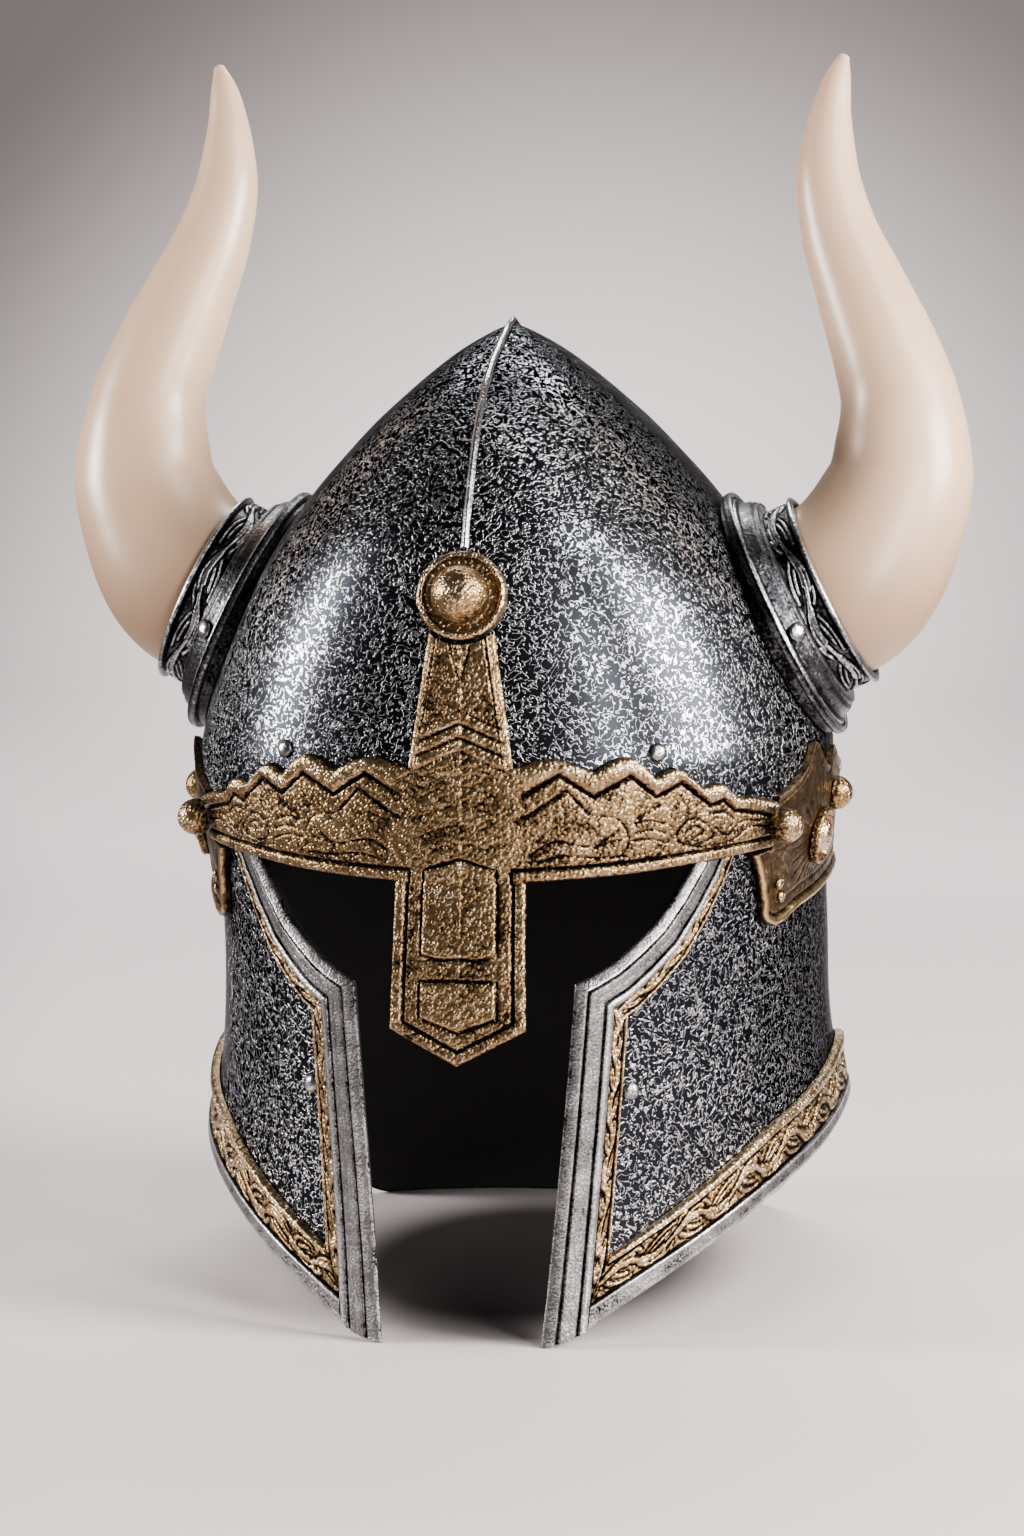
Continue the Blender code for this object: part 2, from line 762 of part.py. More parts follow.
def build_face_inlay():
    """Gold strip beside the moulding, mitred with the gold hem at its foot."""
    # Columns: share of INLAY_WIDTH, share of INLAY_PROUD
    rows = [(0.0, 0.8), (0.76, 0.8), (0.80, 1.0), (1.0, 1.0)]
    lines = []
    for share, _ in rows:
        distance = FRAME_WIDTH + GAP + (INLAY_WIDTH - GAP) * share
        foot = hem_offset(share) + (0, 1.5 * GAP)
        lines.append(opening_strip_line(distance, foot))
    add_pair("face_inlay", strip(lines, [INLAY_PROUD * h for _, h in rows]), "gold")


def round_the_back(line, start, stations=22):
    """Line from a start point to the middle of the back and on to the other side."""
    order = np.argsort(line[:, 0])
    back = np.pi * UNROLL
    share = np.linspace(0, 1, stations)
    s = start[0] + (back - start[0]) * share
    z = np.interp(s, line[order, 0], line[order, 1])
    z[0] = start[1]
    s = np.concatenate([s, 2 * back - s[-2::-1]])
    z = np.concatenate([z, z[-2::-1]])
    return np.stack([s, z], -1)


def build_hem():
    """Silver lip and gold relief band along the bottom rim."""
    side = dense(opening_offset(FRAME_WIDTH + GAP))
    # Columns: share of LIP_WIDTH, share of LIP_PROUD
    lip_rows = [(0.0, 0.75), (0.25, 1.0), (1.0, 1.0)]
    lines = []
    for share, _ in lip_rows:
        line = rim_offset(LIP_WIDTH * share)
        lines.append(round_the_back(line, crossing(side, line)[1]))
    heights = [LIP_PROUD * h for _, h in lip_rows]
    add_piece("hem_lip", strip(lines, heights, (0, slice(None))), "silver")
    # Columns: share of the gold width, height above the shell
    hem_rows = [(0.0, HEM_PROUD), (0.74, HEM_PROUD), (0.80, HEM_RIDGE), (1.0, HEM_RIDGE)]
    lines = []
    for share, _ in hem_rows:
        line = hem_offset(share)
        distance = FRAME_WIDTH + GAP + (INLAY_WIDTH - GAP) * share
        lines.append(round_the_back(line, crossing(dense(opening_offset(distance)), line)[1]))
    add_piece("hem_band", strip(lines, [h for _, h in hem_rows]), "gold")


def boss_climb():
    """Rise for each length along the ridge where the nasal boss is seated."""
    return -skin_normal(np.array(0.0), np.array(BOSS_HEIGHT))[1]


def build_brow_nasal():
    """Brow band, nasal bar and arm in one casting, from rows of one masked grid."""
    half = [0.0, 0.30, 0.78, 1.0]
    root = np.degrees(np.arcsin(NASAL_HALF_WIDTH / (FRONT_REACH + BAND_PROUD)))
    outer = SCALLOP_ROWS[SCALLOP_ROWS[:, 0] > root, 0]
    right = np.concatenate([np.array(half) * root, outer])
    angle = np.concatenate([-right[:0:-1], right])
    centre = np.abs(angle) <= root + 1e-9
    share = np.clip(np.abs(angle) / root, 0, 1)
    sign = np.sign(angle)

    def bar(z, half_width, mid_rise=0.0):
        """Angles and heights of one row of the nasal bar or arm."""
        spread = np.degrees(np.arcsin(half_width / section_radius(0.0, z)))
        turned = np.where(centre, sign * share * spread, angle)
        return turned, np.full(len(angle), z) + mid_rise * share

    rows, heights, base = [], [], []
    crown = NASAL_PROUD - NASAL_ROUNDING * share
    bar_levels = np.linspace(0, 1, 5)[:-1]
    for level in bar_levels:
        z = NASAL_POINT + (BAND_BOTTOM - NASAL_POINT) * level
        rise = (NASAL_SHOULDER - NASAL_POINT) * (1 - level)
        rows.append(bar(z, NASAL_HALF_WIDTH, rise))
        top = crown + NASAL_FORWARD * (1 - level)
        heights.append(top)
        base.append(top - NASAL_THICKNESS)
    foot, top = band_foot(angle), band_crown(angle)
    # Columns: share of the band's height, share of BAND_PROUD
    for step, proud in ((0.0, 0.80), (0.10, 1.0), (0.16, 0.74), (0.84, 0.80), (0.90, 1.05), (1.0, 0.62)):
        rows.append((angle, foot + (top - foot) * step))
        heights.append(np.where(centre & (share < half[-1]), crown, BAND_PROUD * proud))
        base.append(np.full(len(angle), SEAT_CLEARANCE))
    top_row = len(rows) - 1
    start = float(band_crown(0.0))
    ring = BOSS_RADIUS + 2 * SEAT_CLEARANCE
    for level in np.linspace(0, 1, 5)[1:]:
        width = ARM_ROOT_HALF_WIDTH + (ARM_TOP_HALF_WIDTH - ARM_ROOT_HALF_WIDTH) * level
        reach = np.sqrt(ring ** 2 - (share * ARM_TOP_HALF_WIDTH) ** 2) * boss_climb()
        rise = (BOSS_HEIGHT - reach - start) * level
        turned_angle, _ = bar(start + (BOSS_HEIGHT - ring - start) * level, width)
        rows.append((turned_angle, start + rise))
        heights.append(np.where(share < half[-1], NASAL_PROUD, ARM_EDGE_PROUD))
        base.append(np.full(len(angle), SEAT_CLEARANCE))
    turned = np.array([r[0] for r in rows])
    z = np.array([r[1] for r in rows])
    top = on_shell(turned, z, np.array(heights))
    under = on_shell(turned, z, np.array(base))
    mask = np.ones((len(rows) - 1, len(angle) - 1), bool)
    middle = centre[:-1] & centre[1:]
    mask[:len(bar_levels)] = middle
    mask[top_row:] = middle
    add_piece("brow_nasal", slab(top, under, mask), "gold")


def build_temple_plate(columns=13):
    """Side plate: pointed top, hanging lobe in front, straight end at the back."""
    rows = PLATE_FOOT_ROWS
    step_foot = PLATE_FRONT_ROWS[-1]
    lines = []
    upper_front = BAND_END_ANGLE + 0.7
    share_at = np.linspace(0, 1, columns)
    foot_angle = rows[0, 0] + (PLATE_END_ANGLE - rows[0, 0]) * share_at
    foot = smooth(rows[:, 0], rows[:, 1], foot_angle)[..., 0]
    front_levels = np.linspace(rows[0, 1], step_foot[0], 4)
    for level in front_levels:
        front = smooth(PLATE_FRONT_ROWS[:, 0], PLATE_FRONT_ROWS[:, 1], level)[..., 0]
        angle = float(front) + (PLATE_END_ANGLE - float(front)) * share_at
        raised = (level - rows[0, 1]) / (step_foot[0] - rows[0, 1])
        height = foot + (step_foot[0] - foot) * raised
        lines.append((angle, band_height(height)))
    angle = upper_front + (PLATE_END_ANGLE - upper_front) * share_at
    crown = smooth(PLATE_TOP_ROWS[:, 0], PLATE_TOP_ROWS[:, 1], angle)[..., 0]
    lower = lines[-1][1]
    for share in (0.06, 0.5, 1.0):
        lines.append((angle, lower + (band_height(crown) - lower) * share))
    angle = np.array([a for a, _ in lines])
    z = np.array([h for _, h in lines])
    top = on_shell(angle, z, PLATE_PROUD)
    under = on_shell(angle, z, SEAT_CLEARANCE)
    add_pair("temple_plate", slab(top, under), "bronze")


def build_nape_band(columns=21):
    """Plain gold band round the back, with a raised edge above and below."""
    start = PLATE_END_ANGLE + np.degrees(GAP / UNROLL)
    angle = np.linspace(start, 360 - start, columns)
    # Columns: share of the band's height, share of BAND_PROUD
    rows = [(0.0, 0.75), (0.14, 0.75), (0.20, 0.55), (0.80, 0.55), (0.86, 0.75), (1.0, 0.75)]
    z = np.array([np.full(columns, NAPE_BOTTOM + (NAPE_TOP - NAPE_BOTTOM) * s) for s, _ in rows])
    heights = np.array([[BAND_PROUD * h] for _, h in rows])
    top = on_shell(angle[None, :] + 0 * z, z, heights)
    under = on_shell(angle[None, :] + 0 * z, z, SEAT_CLEARANCE)
    add_piece("nape_band", slab(top, under), "gold")


def frame_at(normal):
    """Two directions square to a normal, the first level with the ground."""
    first = unit(np.cross((0.0, 0.0, 1.0), normal))
    return first, np.cross(normal, first)


def turned(point, normal, profile, around, tip=None):
    """Solid turned about a normal, from a profile of radius and height."""
    first, second = frame_at(normal)
    turn = np.linspace(0, 2 * np.pi, around, endpoint=False)
    circle = np.cos(turn)[:, None] * first + np.sin(turn)[:, None] * second
    rings = [point + radius * circle + height * normal for radius, height in profile]
    apex = None if tip is None else point + tip * normal
    return loop_solid(rings, tip=apex)


def shell_seat(angle, z, off):
    """Point on the shell, and its normal, where a turned piece is seated."""
    point = on_shell(np.array(angle), np.array(z), off)
    return point, skin_normal(np.array(angle), np.array(z))


def rivet_profile(radius, rise):
    """Round-headed rivet, foot to crown."""
    return [(radius, 0.0), (0.75 * radius, 0.70 * rise)], rise


def ball_profile(radius, sunk):
    """Ball cut flat at its foot: centre at radius * sunk above the foot."""
    start = -np.arcsin(min(sunk, 0.999))
    lift = radius * sunk
    level = np.linspace(start, np.pi / 2, 5)[:-1]
    return [(radius * np.cos(a), lift + radius * np.sin(a)) for a in level], lift + radius


def build_studs():
    """Nasal boss, brow studs, temple bosses and studs, and the small rivets."""
    point, normal = shell_seat(0.0, BOSS_HEIGHT, SEAT_CLEARANCE)
    # Columns: share of BOSS_RADIUS, share of BOSS_PROUD
    disc = [(1.0, 0.0), (1.0, 0.62), (0.93, 0.95), (0.80, 1.0), (0.74, 0.78)]
    profile = [(BOSS_RADIUS * r, BOSS_PROUD * h) for r, h in disc]
    ball, crown = ball_profile(BOSS_BALL_RADIUS, 0.25)
    profile += [(r, BOSS_PROUD * 0.78 + h) for r, h in ball]
    add_piece("nasal_boss", turned(point, normal, profile, 14, BOSS_PROUD * 0.78 + crown), "gold")

    point, normal = shell_seat(BROW_STUD_ANGLE, BROW_STUD_HEIGHT, BAND_PROUD + GAP)
    profile, crown = ball_profile(BROW_STUD_RADIUS, 0.45)
    add_pair("brow_stud", turned(point, normal, profile, 10, crown), "gold")

    point, normal = shell_seat(TEMPLE_STUD_ANGLE, TEMPLE_STUD_HEIGHT, PLATE_PROUD + GAP)
    profile, crown = ball_profile(TEMPLE_STUD_RADIUS, 0.10)
    add_pair("temple_stud", turned(point, normal, profile, 10, crown), "gold")

    point, normal = shell_seat(TEMPLE_BOSS_ANGLE, TEMPLE_BOSS_HEIGHT, PLATE_PROUD + SEAT_CLEARANCE)
    # Columns: share of TEMPLE_BOSS_RADIUS, share of TEMPLE_BOSS_PROUD
    ring = [(1.0, 0.0), (0.97, 0.40), (0.80, 0.42), (0.72, 0.12), (0.60, 0.30), (0.35, 0.85)]
    profile = [(TEMPLE_BOSS_RADIUS * r, TEMPLE_BOSS_PROUD * h) for r, h in ring]
    add_pair("temple_boss", turned(point, normal, profile, 14, TEMPLE_BOSS_PROUD), "gold")

    # Columns: angle, share of the band's height
    for name, angle, share in (("temple_rivet_upper", 61.0, -0.17), ("temple_rivet_lower", 62.2, -0.29)):
        point, normal = shell_seat(angle, float(band_height(share)), PLATE_PROUD + GAP)
        profile, crown = rivet_profile(TEMPLE_RIVET_RADIUS, TEMPLE_RIVET_RADIUS * 0.6)
        add_pair(name, turned(point, normal, profile, 6, crown), "gold")

    profile, crown = rivet_profile(RIVET_RADIUS, RIVET_RISE)
    point, normal = shell_seat(BROW_RIVET_ANGLE, BROW_RIVET_HEIGHT, GAP)
    add_pair("brow_rivet", turned(point, normal, profile, 8, crown), "silver")
    height = CHEEK_RIVET_HEIGHT
    edge = opening_offset(FRAME_WIDTH + INLAY_WIDTH + RIVET_RADIUS + GAP)
    angle = float(np.degrees(np.interp(height, edge[:5, 1], edge[:5, 0]) / UNROLL))
    point, normal = shell_seat(angle, height, GAP)
    add_pair("cheek_rivet", turned(point, normal, profile, 8, crown), "silver")


def build_crest_rib(stations=27):
    """Rib along the ridge from the nasal boss over the peak to the nape band."""
    boss_clear = BOSS_HEIGHT + (BOSS_RADIUS + 2 * SEAT_CLEARANCE) * boss_climb()
    start = np.interp(boss_clear, SECTIONS[:, 0], np.arange(len(SECTIONS)))
    end = np.interp(NAPE_TOP + 2 * GAP, SECTIONS[:, 0], np.arange(len(SECTIONS)))
    top = len(SECTIONS) - 1
    half = stations // 2
    front = np.interp(np.linspace(start, top, half), np.arange(top + 1), SECTIONS[:, 0])
    rear = np.interp(np.linspace(top, end, half), np.arange(top + 1), SECTIONS[:, 0])[1:]
    line = []
    for z, angle in [(h, 0.0) for h in front] + [(h, 180.0) for h in rear]:
        line.append(skin(np.array(angle), np.array(z)))
    line = np.array(line)
    tangent = unit(np.gradient(line, axis=0))
    across = np.array([1.0, 0.0, 0.0])
    normal = np.cross(across, tangent)
    # Columns: share of half the width, share of RIB_PROUD
    section = [(-1.0, 0.0), (-1.0, 0.5), (-0.45, 1.0), (0.45, 1.0), (1.0, 0.5), (1.0, 0.0)]
    rings = [line + across * RIB_WIDTH / 2 * w + normal * (SEAT_CLEARANCE + RIB_PROUD * h) for w, h in section]
    add_piece("crest_rib", loop_solid(np.stack(rings, 1)), "silver")


def collar_frame():
    """Seat of the horn collar on the shell and the direction it points."""
    centre = skin(np.array(COLLAR_ANGLE), np.array(COLLAR_HEIGHT))
    tilt = np.radians(COLLAR_TILT)
    return centre, np.array([np.cos(tilt), 0.0, np.sin(tilt)])


def seat_on_shell(centre, axis, circle, radius):
    """Height along the axis at which points of a circle meet the shell."""
    low = np.full(len(circle), -0.040)
    high = np.full(len(circle), 0.020)
    for _ in range(40):
        middle = (low + high) / 2
        point = centre + radius * circle + middle[:, None] * axis
        z = np.clip(point[:, 2], 0, HELMET_HEIGHT * 0.999)
        angle = np.arctan2(point[:, 0], -(point[:, 1] + lean(z)))
        inside = np.hypot(point[:, 0], point[:, 1] + lean(z)) < section_radius(angle, z)
        low = np.where(inside, middle, low)
        high = np.where(inside, high, middle)
    return high


def build_collars(around=22):
    """Flange seated on the dome, its rivets, and the sleeve that grips the horn."""
    centre, axis = collar_frame()
    first, second = frame_at(axis)
    turn = np.linspace(0, 2 * np.pi, around, endpoint=False)
    circle = np.cos(turn)[:, None] * first + np.sin(turn)[:, None] * second
    bore = HORN_RADIUS + 2 * GAP

    def ring(radius, height):
        """Ring of the collar at one radius and height."""
        height = np.broadcast_to(height, (around,))
        return centre + radius * circle + height[:, None] * axis

    rings = [ring(FLANGE_RADIUS * r, FLANGE_RISE * h) for r, h in FLANGE_ROWS]
    rings.append(ring(bore, FLANGE_RISE))
    skirt = FLANGE_RADIUS * FLANGE_ROWS[0][0]
    for radius in (bore, (bore + skirt) / 2, skirt):
        seat = seat_on_shell(centre, axis, circle, radius) + SEAT_CLEARANCE
        rings.append(ring(radius, seat))
    add_pair("horn_flange", loop_solid(rings, close_tube=True), "pewter")

    foot = FLANGE_RISE + GAP
    rings = [ring(SLEEVE_RADIUS * r, foot + SLEEVE_RISE * h) for r, h in SLEEVE_ROWS]
    rings += [ring(bore, foot + SLEEVE_RISE), ring(bore, foot)]
    add_pair("horn_sleeve", loop_solid(rings, close_tube=True), "pewter")

    low, high = FLANGE_ROWS[-3], FLANGE_ROWS[-1]
    slope = np.array([FLANGE_RADIUS * (low[0] - high[0]), FLANGE_RISE * (high[1] - low[1])])
    out, up = unit(np.array([slope[1], slope[0]]))
    middle = np.array([FLANGE_RADIUS * (low[0] + high[0]), FLANGE_RISE * (low[1] + high[1])]) / 2
    profile, crown = rivet_profile(FLANGE_RIVET_RADIUS, RIVET_RISE)
    for k in range(FLANGE_RIVETS):
        turn = np.radians(FLANGE_RIVET_TURN + 360 * k / FLANGE_RIVETS)
        radial = np.cos(turn) * first + np.sin(turn) * second
        normal = unit(out * radial + up * axis)
        point = centre + middle[0] * radial + middle[1] * axis + normal * 1.5 * GAP
        add_pair(f"flange_rivet_{k + 1}", turned(point, normal, profile, 8, crown), "silver")


def build_horns(around=14, stations=17):
    """Horn: a straight root inside the collar, then a swelling S-curve to the tip."""
    centre, axis = collar_frame()
    mouth = FLANGE_RISE + SLEEVE_RISE
    root = centre + axis * 2 * GAP
    grip = centre + axis * mouth
    reach, rise, thickness = HORN_ROWS.T
    lean_share = (rise ** 1.5)[:, None] * (0.0, 1.0, 0.0)
    line = centre + reach[:, None] * (HORN_REACH, 0, 0) + rise[:, None] * (0, 0, HORN_RISE)
    line = line + lean_share * HORN_LEAN
    rows = np.vstack([np.append(grip - axis * mouth / 2, 1.0), np.append(grip, 1.0),
                      np.column_stack([line, thickness])])
    along = chord(rows[:, :3])
    at = np.linspace(along[1], along[-1], stations)
    path = smooth(along, rows, at)
    points, size = path[:, :3], path[:, 3] * HORN_RADIUS
    tangent = unit(np.gradient(points, axis=0))
    tangent[0] = axis
    across = unit(np.cross(tangent, (0.0, 1.0, 0.0)))
    beside = np.cross(across, tangent)
    turn = np.linspace(0, 2 * np.pi, around, endpoint=False)[:, None]
    rings = [root + HORN_RADIUS * (np.cos(turn) * across[0] + np.sin(turn) * beside[0])]
    for p, r, u, v in zip(points, size, across, beside):
        rings.append(p + r * (np.cos(turn) * u + np.sin(turn) * v))
    tip = points[-1] + tangent[-1] * 0.9 * size[-1]
    add_pair("horn", loop_solid(rings, tip=tip), "ivory")


def main():
    """Model every sub-part."""
    clear_scene()
    build_skull()
    build_face_guard()
    build_crest_rib()
    build_brow_nasal()
    build_studs()
    build_temple_plate()
    build_nape_band()
    build_face_frame()
    build_face_inlay()
    build_hem()
    build_collars()
    build_horns()


main()
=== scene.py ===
"""Horned helmet: etched steel shell, cast brass brow band and nasal bar, silver and
brass mouldings, dark pewter collars and cream horns, dressed over the CAD frame.

Metres, +Z up, front towards -Y, +X is the wearer's left. Angles around the shell
are in degrees from the front. Names that end in _MM are in millimetres, and so is
the relief of the castings, which MM turns into metres.
"""

import bpy
import numpy as np
from bpy.props import FloatProperty, FloatVectorProperty, PointerProperty
from mathutils import Matrix, Vector


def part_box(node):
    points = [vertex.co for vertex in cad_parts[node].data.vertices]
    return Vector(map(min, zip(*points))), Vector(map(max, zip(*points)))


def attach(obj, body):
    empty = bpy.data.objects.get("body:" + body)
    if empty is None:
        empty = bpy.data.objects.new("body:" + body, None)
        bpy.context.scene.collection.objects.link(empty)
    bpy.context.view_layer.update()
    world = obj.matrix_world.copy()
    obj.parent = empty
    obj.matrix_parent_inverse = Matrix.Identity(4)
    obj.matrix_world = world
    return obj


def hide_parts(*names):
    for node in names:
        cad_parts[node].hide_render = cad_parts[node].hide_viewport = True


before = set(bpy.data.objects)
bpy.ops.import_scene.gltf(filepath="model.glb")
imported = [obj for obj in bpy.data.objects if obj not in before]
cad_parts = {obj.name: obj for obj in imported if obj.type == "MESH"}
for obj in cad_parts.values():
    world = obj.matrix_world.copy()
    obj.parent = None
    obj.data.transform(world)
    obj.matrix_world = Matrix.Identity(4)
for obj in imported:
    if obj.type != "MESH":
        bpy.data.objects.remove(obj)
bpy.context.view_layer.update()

bl_info = {
    "name": "Horned Helmet",
    "version": (1, 0, 0),
    "blender": (4, 5, 0),
    "location": "View3D > Sidebar > Helmet",
    "description": "Dresses a horned helmet with a face guard in its finishes",
    "category": "Object",
}

MM = 0.001

# Driving dimensions of the shell
HELMET_HEIGHT = float(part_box("skull")[1][2])
HALF_WIDTH = 0.115
FRONT_REACH = 0.121
REAR_REACH = 0.126
PEAK_LEAN = 0.007
WALL = 0.002
PEAK_WALL = 0.0028
GAP = 0.0003
SEAT = 0.0006
SECTION_POWER = 2.2
KEEL = 0.02
KEEL_START = 0.200
UNROLL = (HALF_WIDTH + FRONT_REACH) / 2

# Face opening
SEAM_HEIGHT = 0.1700
BROW_HEIGHT = 0.1635
BROW_ANGLE = 39.5
CORNER_HEIGHT = 0.124
CORNER_ANGLE = 18.0
TIP_ANGLE = 12.0
GUARD_INSET = 0.0012

# Bottom rim
RIM_RISE = 0.060
LIP_WIDTH = 0.0060
HEM_WIDTH = 0.0172
HEM_SIDE_WIDTH = 0.0225
HEM_WIDENING = (28.0, 62.0)
HEM_FIELD = 0.74
HEM_SCROLL_MM = 31.0

# Mouldings of the face opening
FRAME_WIDTH = 0.0134
INLAY_WIDTH = 0.0056
INLAY_FIELD_MM = 4.3
INLAY_SCROLL_MM = 21.0
FRAME_NARROWING = 0.80

# Brow band and nasal bar
BAND_BOTTOM = 0.1588
BAND_TOP = 0.2010
BAND_END_ANGLE = 56.5
BAND_PROUD = 0.0046
BAND_FIELD = 0.0036
NASAL_HALF_WIDTH = 0.022
NASAL_SHOULDER = 0.1095
NASAL_POINT = 0.097
NASAL_PROUD = 0.0052
NASAL_FIELD = NASAL_PROUD - 0.0008
ARM_EDGE = 0.0022
NASAL_THICKNESS = 0.0045
NASAL_FORWARD = 0.0045
ARM_ROOT_HALF_WIDTH = 0.018
ARM_TOP_HALF_WIDTH = 0.0112
BOSS_HEIGHT = 0.2555
BOSS_RADIUS = 0.0155
BOSS_BALL_RADIUS = 0.0100
BOSS_PROUD = 0.0052
BOSS_BALL_SEAT = BOSS_PROUD * 0.62

# Temple plates, studs and the band round the nape
PLATE_END_ANGLE = 101.0
PLATE_PROUD = 0.0026
NAPE_BOTTOM = 0.1480
NAPE_TOP = 0.1865
BROW_STUD = (56.0, 0.1755)
BROW_STUD_RADIUS = 0.0065
TEMPLE_STUD = (85.0, 0.1790)
TEMPLE_STUD_RADIUS = 0.0062
TEMPLE_BOSS = (77.0, 0.1657)
TEMPLE_BOSS_RADIUS = 0.0105
TEMPLE_BOSS_PROUD = 0.0045
TEMPLE_RIVET_RADIUS = 0.0022
TEMPLE_RIVET_RISE = TEMPLE_RIVET_RADIUS * 0.6
TEMPLE_RIVET_UPPER = (61.0, -0.17)
TEMPLE_RIVET_LOWER = (62.2, -0.29)
PLATE_RAYS = 30
NAPE_PROUD = BAND_PROUD * 0.55

# Crest rib, collars, horns and rivets
RIB_WIDTH = 0.0030
RIB_PROUD = 0.0018
COLLAR_HEIGHT = 0.2438
COLLAR_ANGLE = 87.5
COLLAR_TILT = 26.0
FLANGE_RADIUS = 0.048
FLANGE_RISE = 0.0075
SLEEVE_RADIUS = 0.037
SLEEVE_RISE = 0.0112
HORN_RADIUS = 0.033
HORN_REACH = 0.0405
HORN_RISE = 0.2013
HORN_LEAN = 0.034
RIVET_RADIUS = 0.0032
RIVET_RISE = 0.0018
FLANGE_RIVET_RADIUS = 0.0036
FLANGE_RIVETS = 3
FLANGE_RIVET_TURN = 190.0
BROW_RIVET = (32.3, 0.2020)
CHEEK_RIVET_HEIGHT = 0.0856

# Shell sections. Columns: height as a share of HELMET_HEIGHT, half width as a
# share of HALF_WIDTH, front and rear reach as shares of theirs, and how much
# narrower than its half width the section is in front, and wider behind.
SHELL_ROWS = np.array([
    (0.000, 1.040, 1.091, 1.024, 0.150),
    (0.072, 1.030, 1.058, 1.008, 0.150),
    (0.172, 1.002, 1.038, 1.004, 0.150),
    (0.264, 0.967, 1.030, 1.000, 0.115),
    (0.359, 0.960, 1.025, 1.000, 0.105),
    (0.473, 0.977, 1.000, 1.000, 0.030),
    (0.517, 0.996, 1.000, 1.000, 0.000),
    (0.560, 1.000, 0.996, 0.996, 0.000),
    (0.588, 0.986, 0.990, 0.988, 0.000),
    (0.631, 0.950, 0.980, 0.972, 0.000),
    (0.689, 0.884, 0.960, 0.944, 0.000),
    (0.737, 0.811, 0.930, 0.913, 0.000),
    (0.786, 0.714, 0.884, 0.869, 0.000),
    (0.834, 0.603, 0.796, 0.782, 0.000),
    (0.865, 0.519, 0.730, 0.710, 0.000),
    (0.895, 0.433, 0.653, 0.635, 0.000),
    (0.925, 0.334, 0.545, 0.528, 0.000),
    (0.955, 0.227, 0.393, 0.378, 0.000),
    (0.976, 0.141, 0.236, 0.226, 0.000),
    (0.991, 0.061, 0.112, 0.107, 0.000),
    (1.000, 0.000, 0.000, 0.000, 0.000),
])

# Side of the face opening, tip to corner: share of CORNER_HEIGHT, share of the
# way from TIP_ANGLE to CORNER_ANGLE.
EDGE_ROWS = np.array([
    (0.00, 0.00), (0.15, 0.19), (0.37, 0.43), (0.62, 0.68), (0.85, 0.88), (1.00, 1.00)])

# Scooped top of the cheek, corner to brow: shares of the way in angle and height.
SCOOP_ROWS = np.array([
    (0.00, 0.00), (0.14, 0.073), (0.28, 0.157), (0.465, 0.31),
    (0.65, 0.48), (0.837, 0.73), (1.00, 1.00), (1.15, 1.35)])

# Bottom rim: angle, share of RIM_RISE.
RIM_ROWS = np.array([
    (12.0, 0.000), (16.5, 0.045), (20.5, 0.125), (25.0, 0.215), (31.0, 0.320),
    (40.0, 0.455), (52.0, 0.610), (65.0, 0.740), (77.0, 0.830), (90.0, 0.920),
    (100.0, 0.985), (106.0, 1.000), (115.0, 0.970), (125.0, 0.820), (134.0, 0.450),
    (141.0, 0.120), (148.0, 0.000), (160.0, 0.000), (180.0, 0.000)])

# Scallops of the brow band, and the mountain line below its rolled rim: angle,
# share of the band's height.
SCALLOP_ROWS = np.array([
    (0.0, 0.88), (7.2, 0.89), (10.5, 0.965), (14.6, 1.00), (18.0, 0.965), (21.0, 0.905),
    (23.5, 0.965), (26.3, 1.00), (28.8, 0.95), (31.2, 0.845), (34.3, 0.905), (37.0, 0.83),
    (39.4, 0.735), (42.8, 0.76), (46.0, 0.64), (50.0, 0.62), (56.5, 0.55)])
MOUNTAIN_ROWS = np.array([
    (0.0, 0.42), (7.3, 0.625), (15.6, 0.870), (21.1, 0.690), (27.0, 0.848), (31.2, 0.675),
    (35.6, 0.777), (40.9, 0.580), (43.6, 0.616), (45.8, 0.524), (51.7, 0.480), (56.5, 0.43)])
INNER_MOUNTAIN_ROWS = np.array([(9.3, 0.50), (16.8, 0.746), (20.1, 0.564)])
SECOND_MOUNTAIN_ROWS = np.array([(27.9, 0.505), (31.8, 0.611)])
BAND_FOOT_ROWS = np.array([(0.0, 0.00), (10.0, 0.01), (28.0, 0.065), (39.0, 0.115), (56.5, 0.175)])

# Strokes engraved on the brow band: angle, share of the band's height.
BAND_STROKES = [np.array(rows) for rows in (
    [(10.7, 0.223), (14.8, 0.341), (20.1, 0.299), (25.1, 0.346)],
    [(12.0, 0.170), (16.5, 0.225), (21.0, 0.205), (26.0, 0.215)],
    [(20.7, 0.545), (24.8, 0.512), (26.6, 0.370), (26.4, 0.280)],
    [(20.9, 0.277), (24.9, 0.424)],
    [(27.4, 0.469), (29.7, 0.488), (32.6, 0.464)],
    [(27.7, 0.391), (30.2, 0.417), (32.8, 0.389)],
    [(27.2, 0.336), (30.3, 0.346), (33.3, 0.306)],
    [(34.6, 0.372), (36.7, 0.481), (39.6, 0.460), (41.7, 0.348), (38.8, 0.275), (35.3, 0.306),
     (34.6, 0.372)],
    [(36.0, 0.367), (38.0, 0.427), (39.7, 0.386), (38.1, 0.334)],
    [(41.5, 0.427), (44.6, 0.334), (47.0, 0.424), (52.6, 0.417)],
    [(38.2, 0.251), (45.9, 0.289), (49.4, 0.379), (53.8, 0.370)],
    [(41.5, 0.517), (43.6, 0.517), (45.7, 0.448), (44.5, 0.386)],
)]

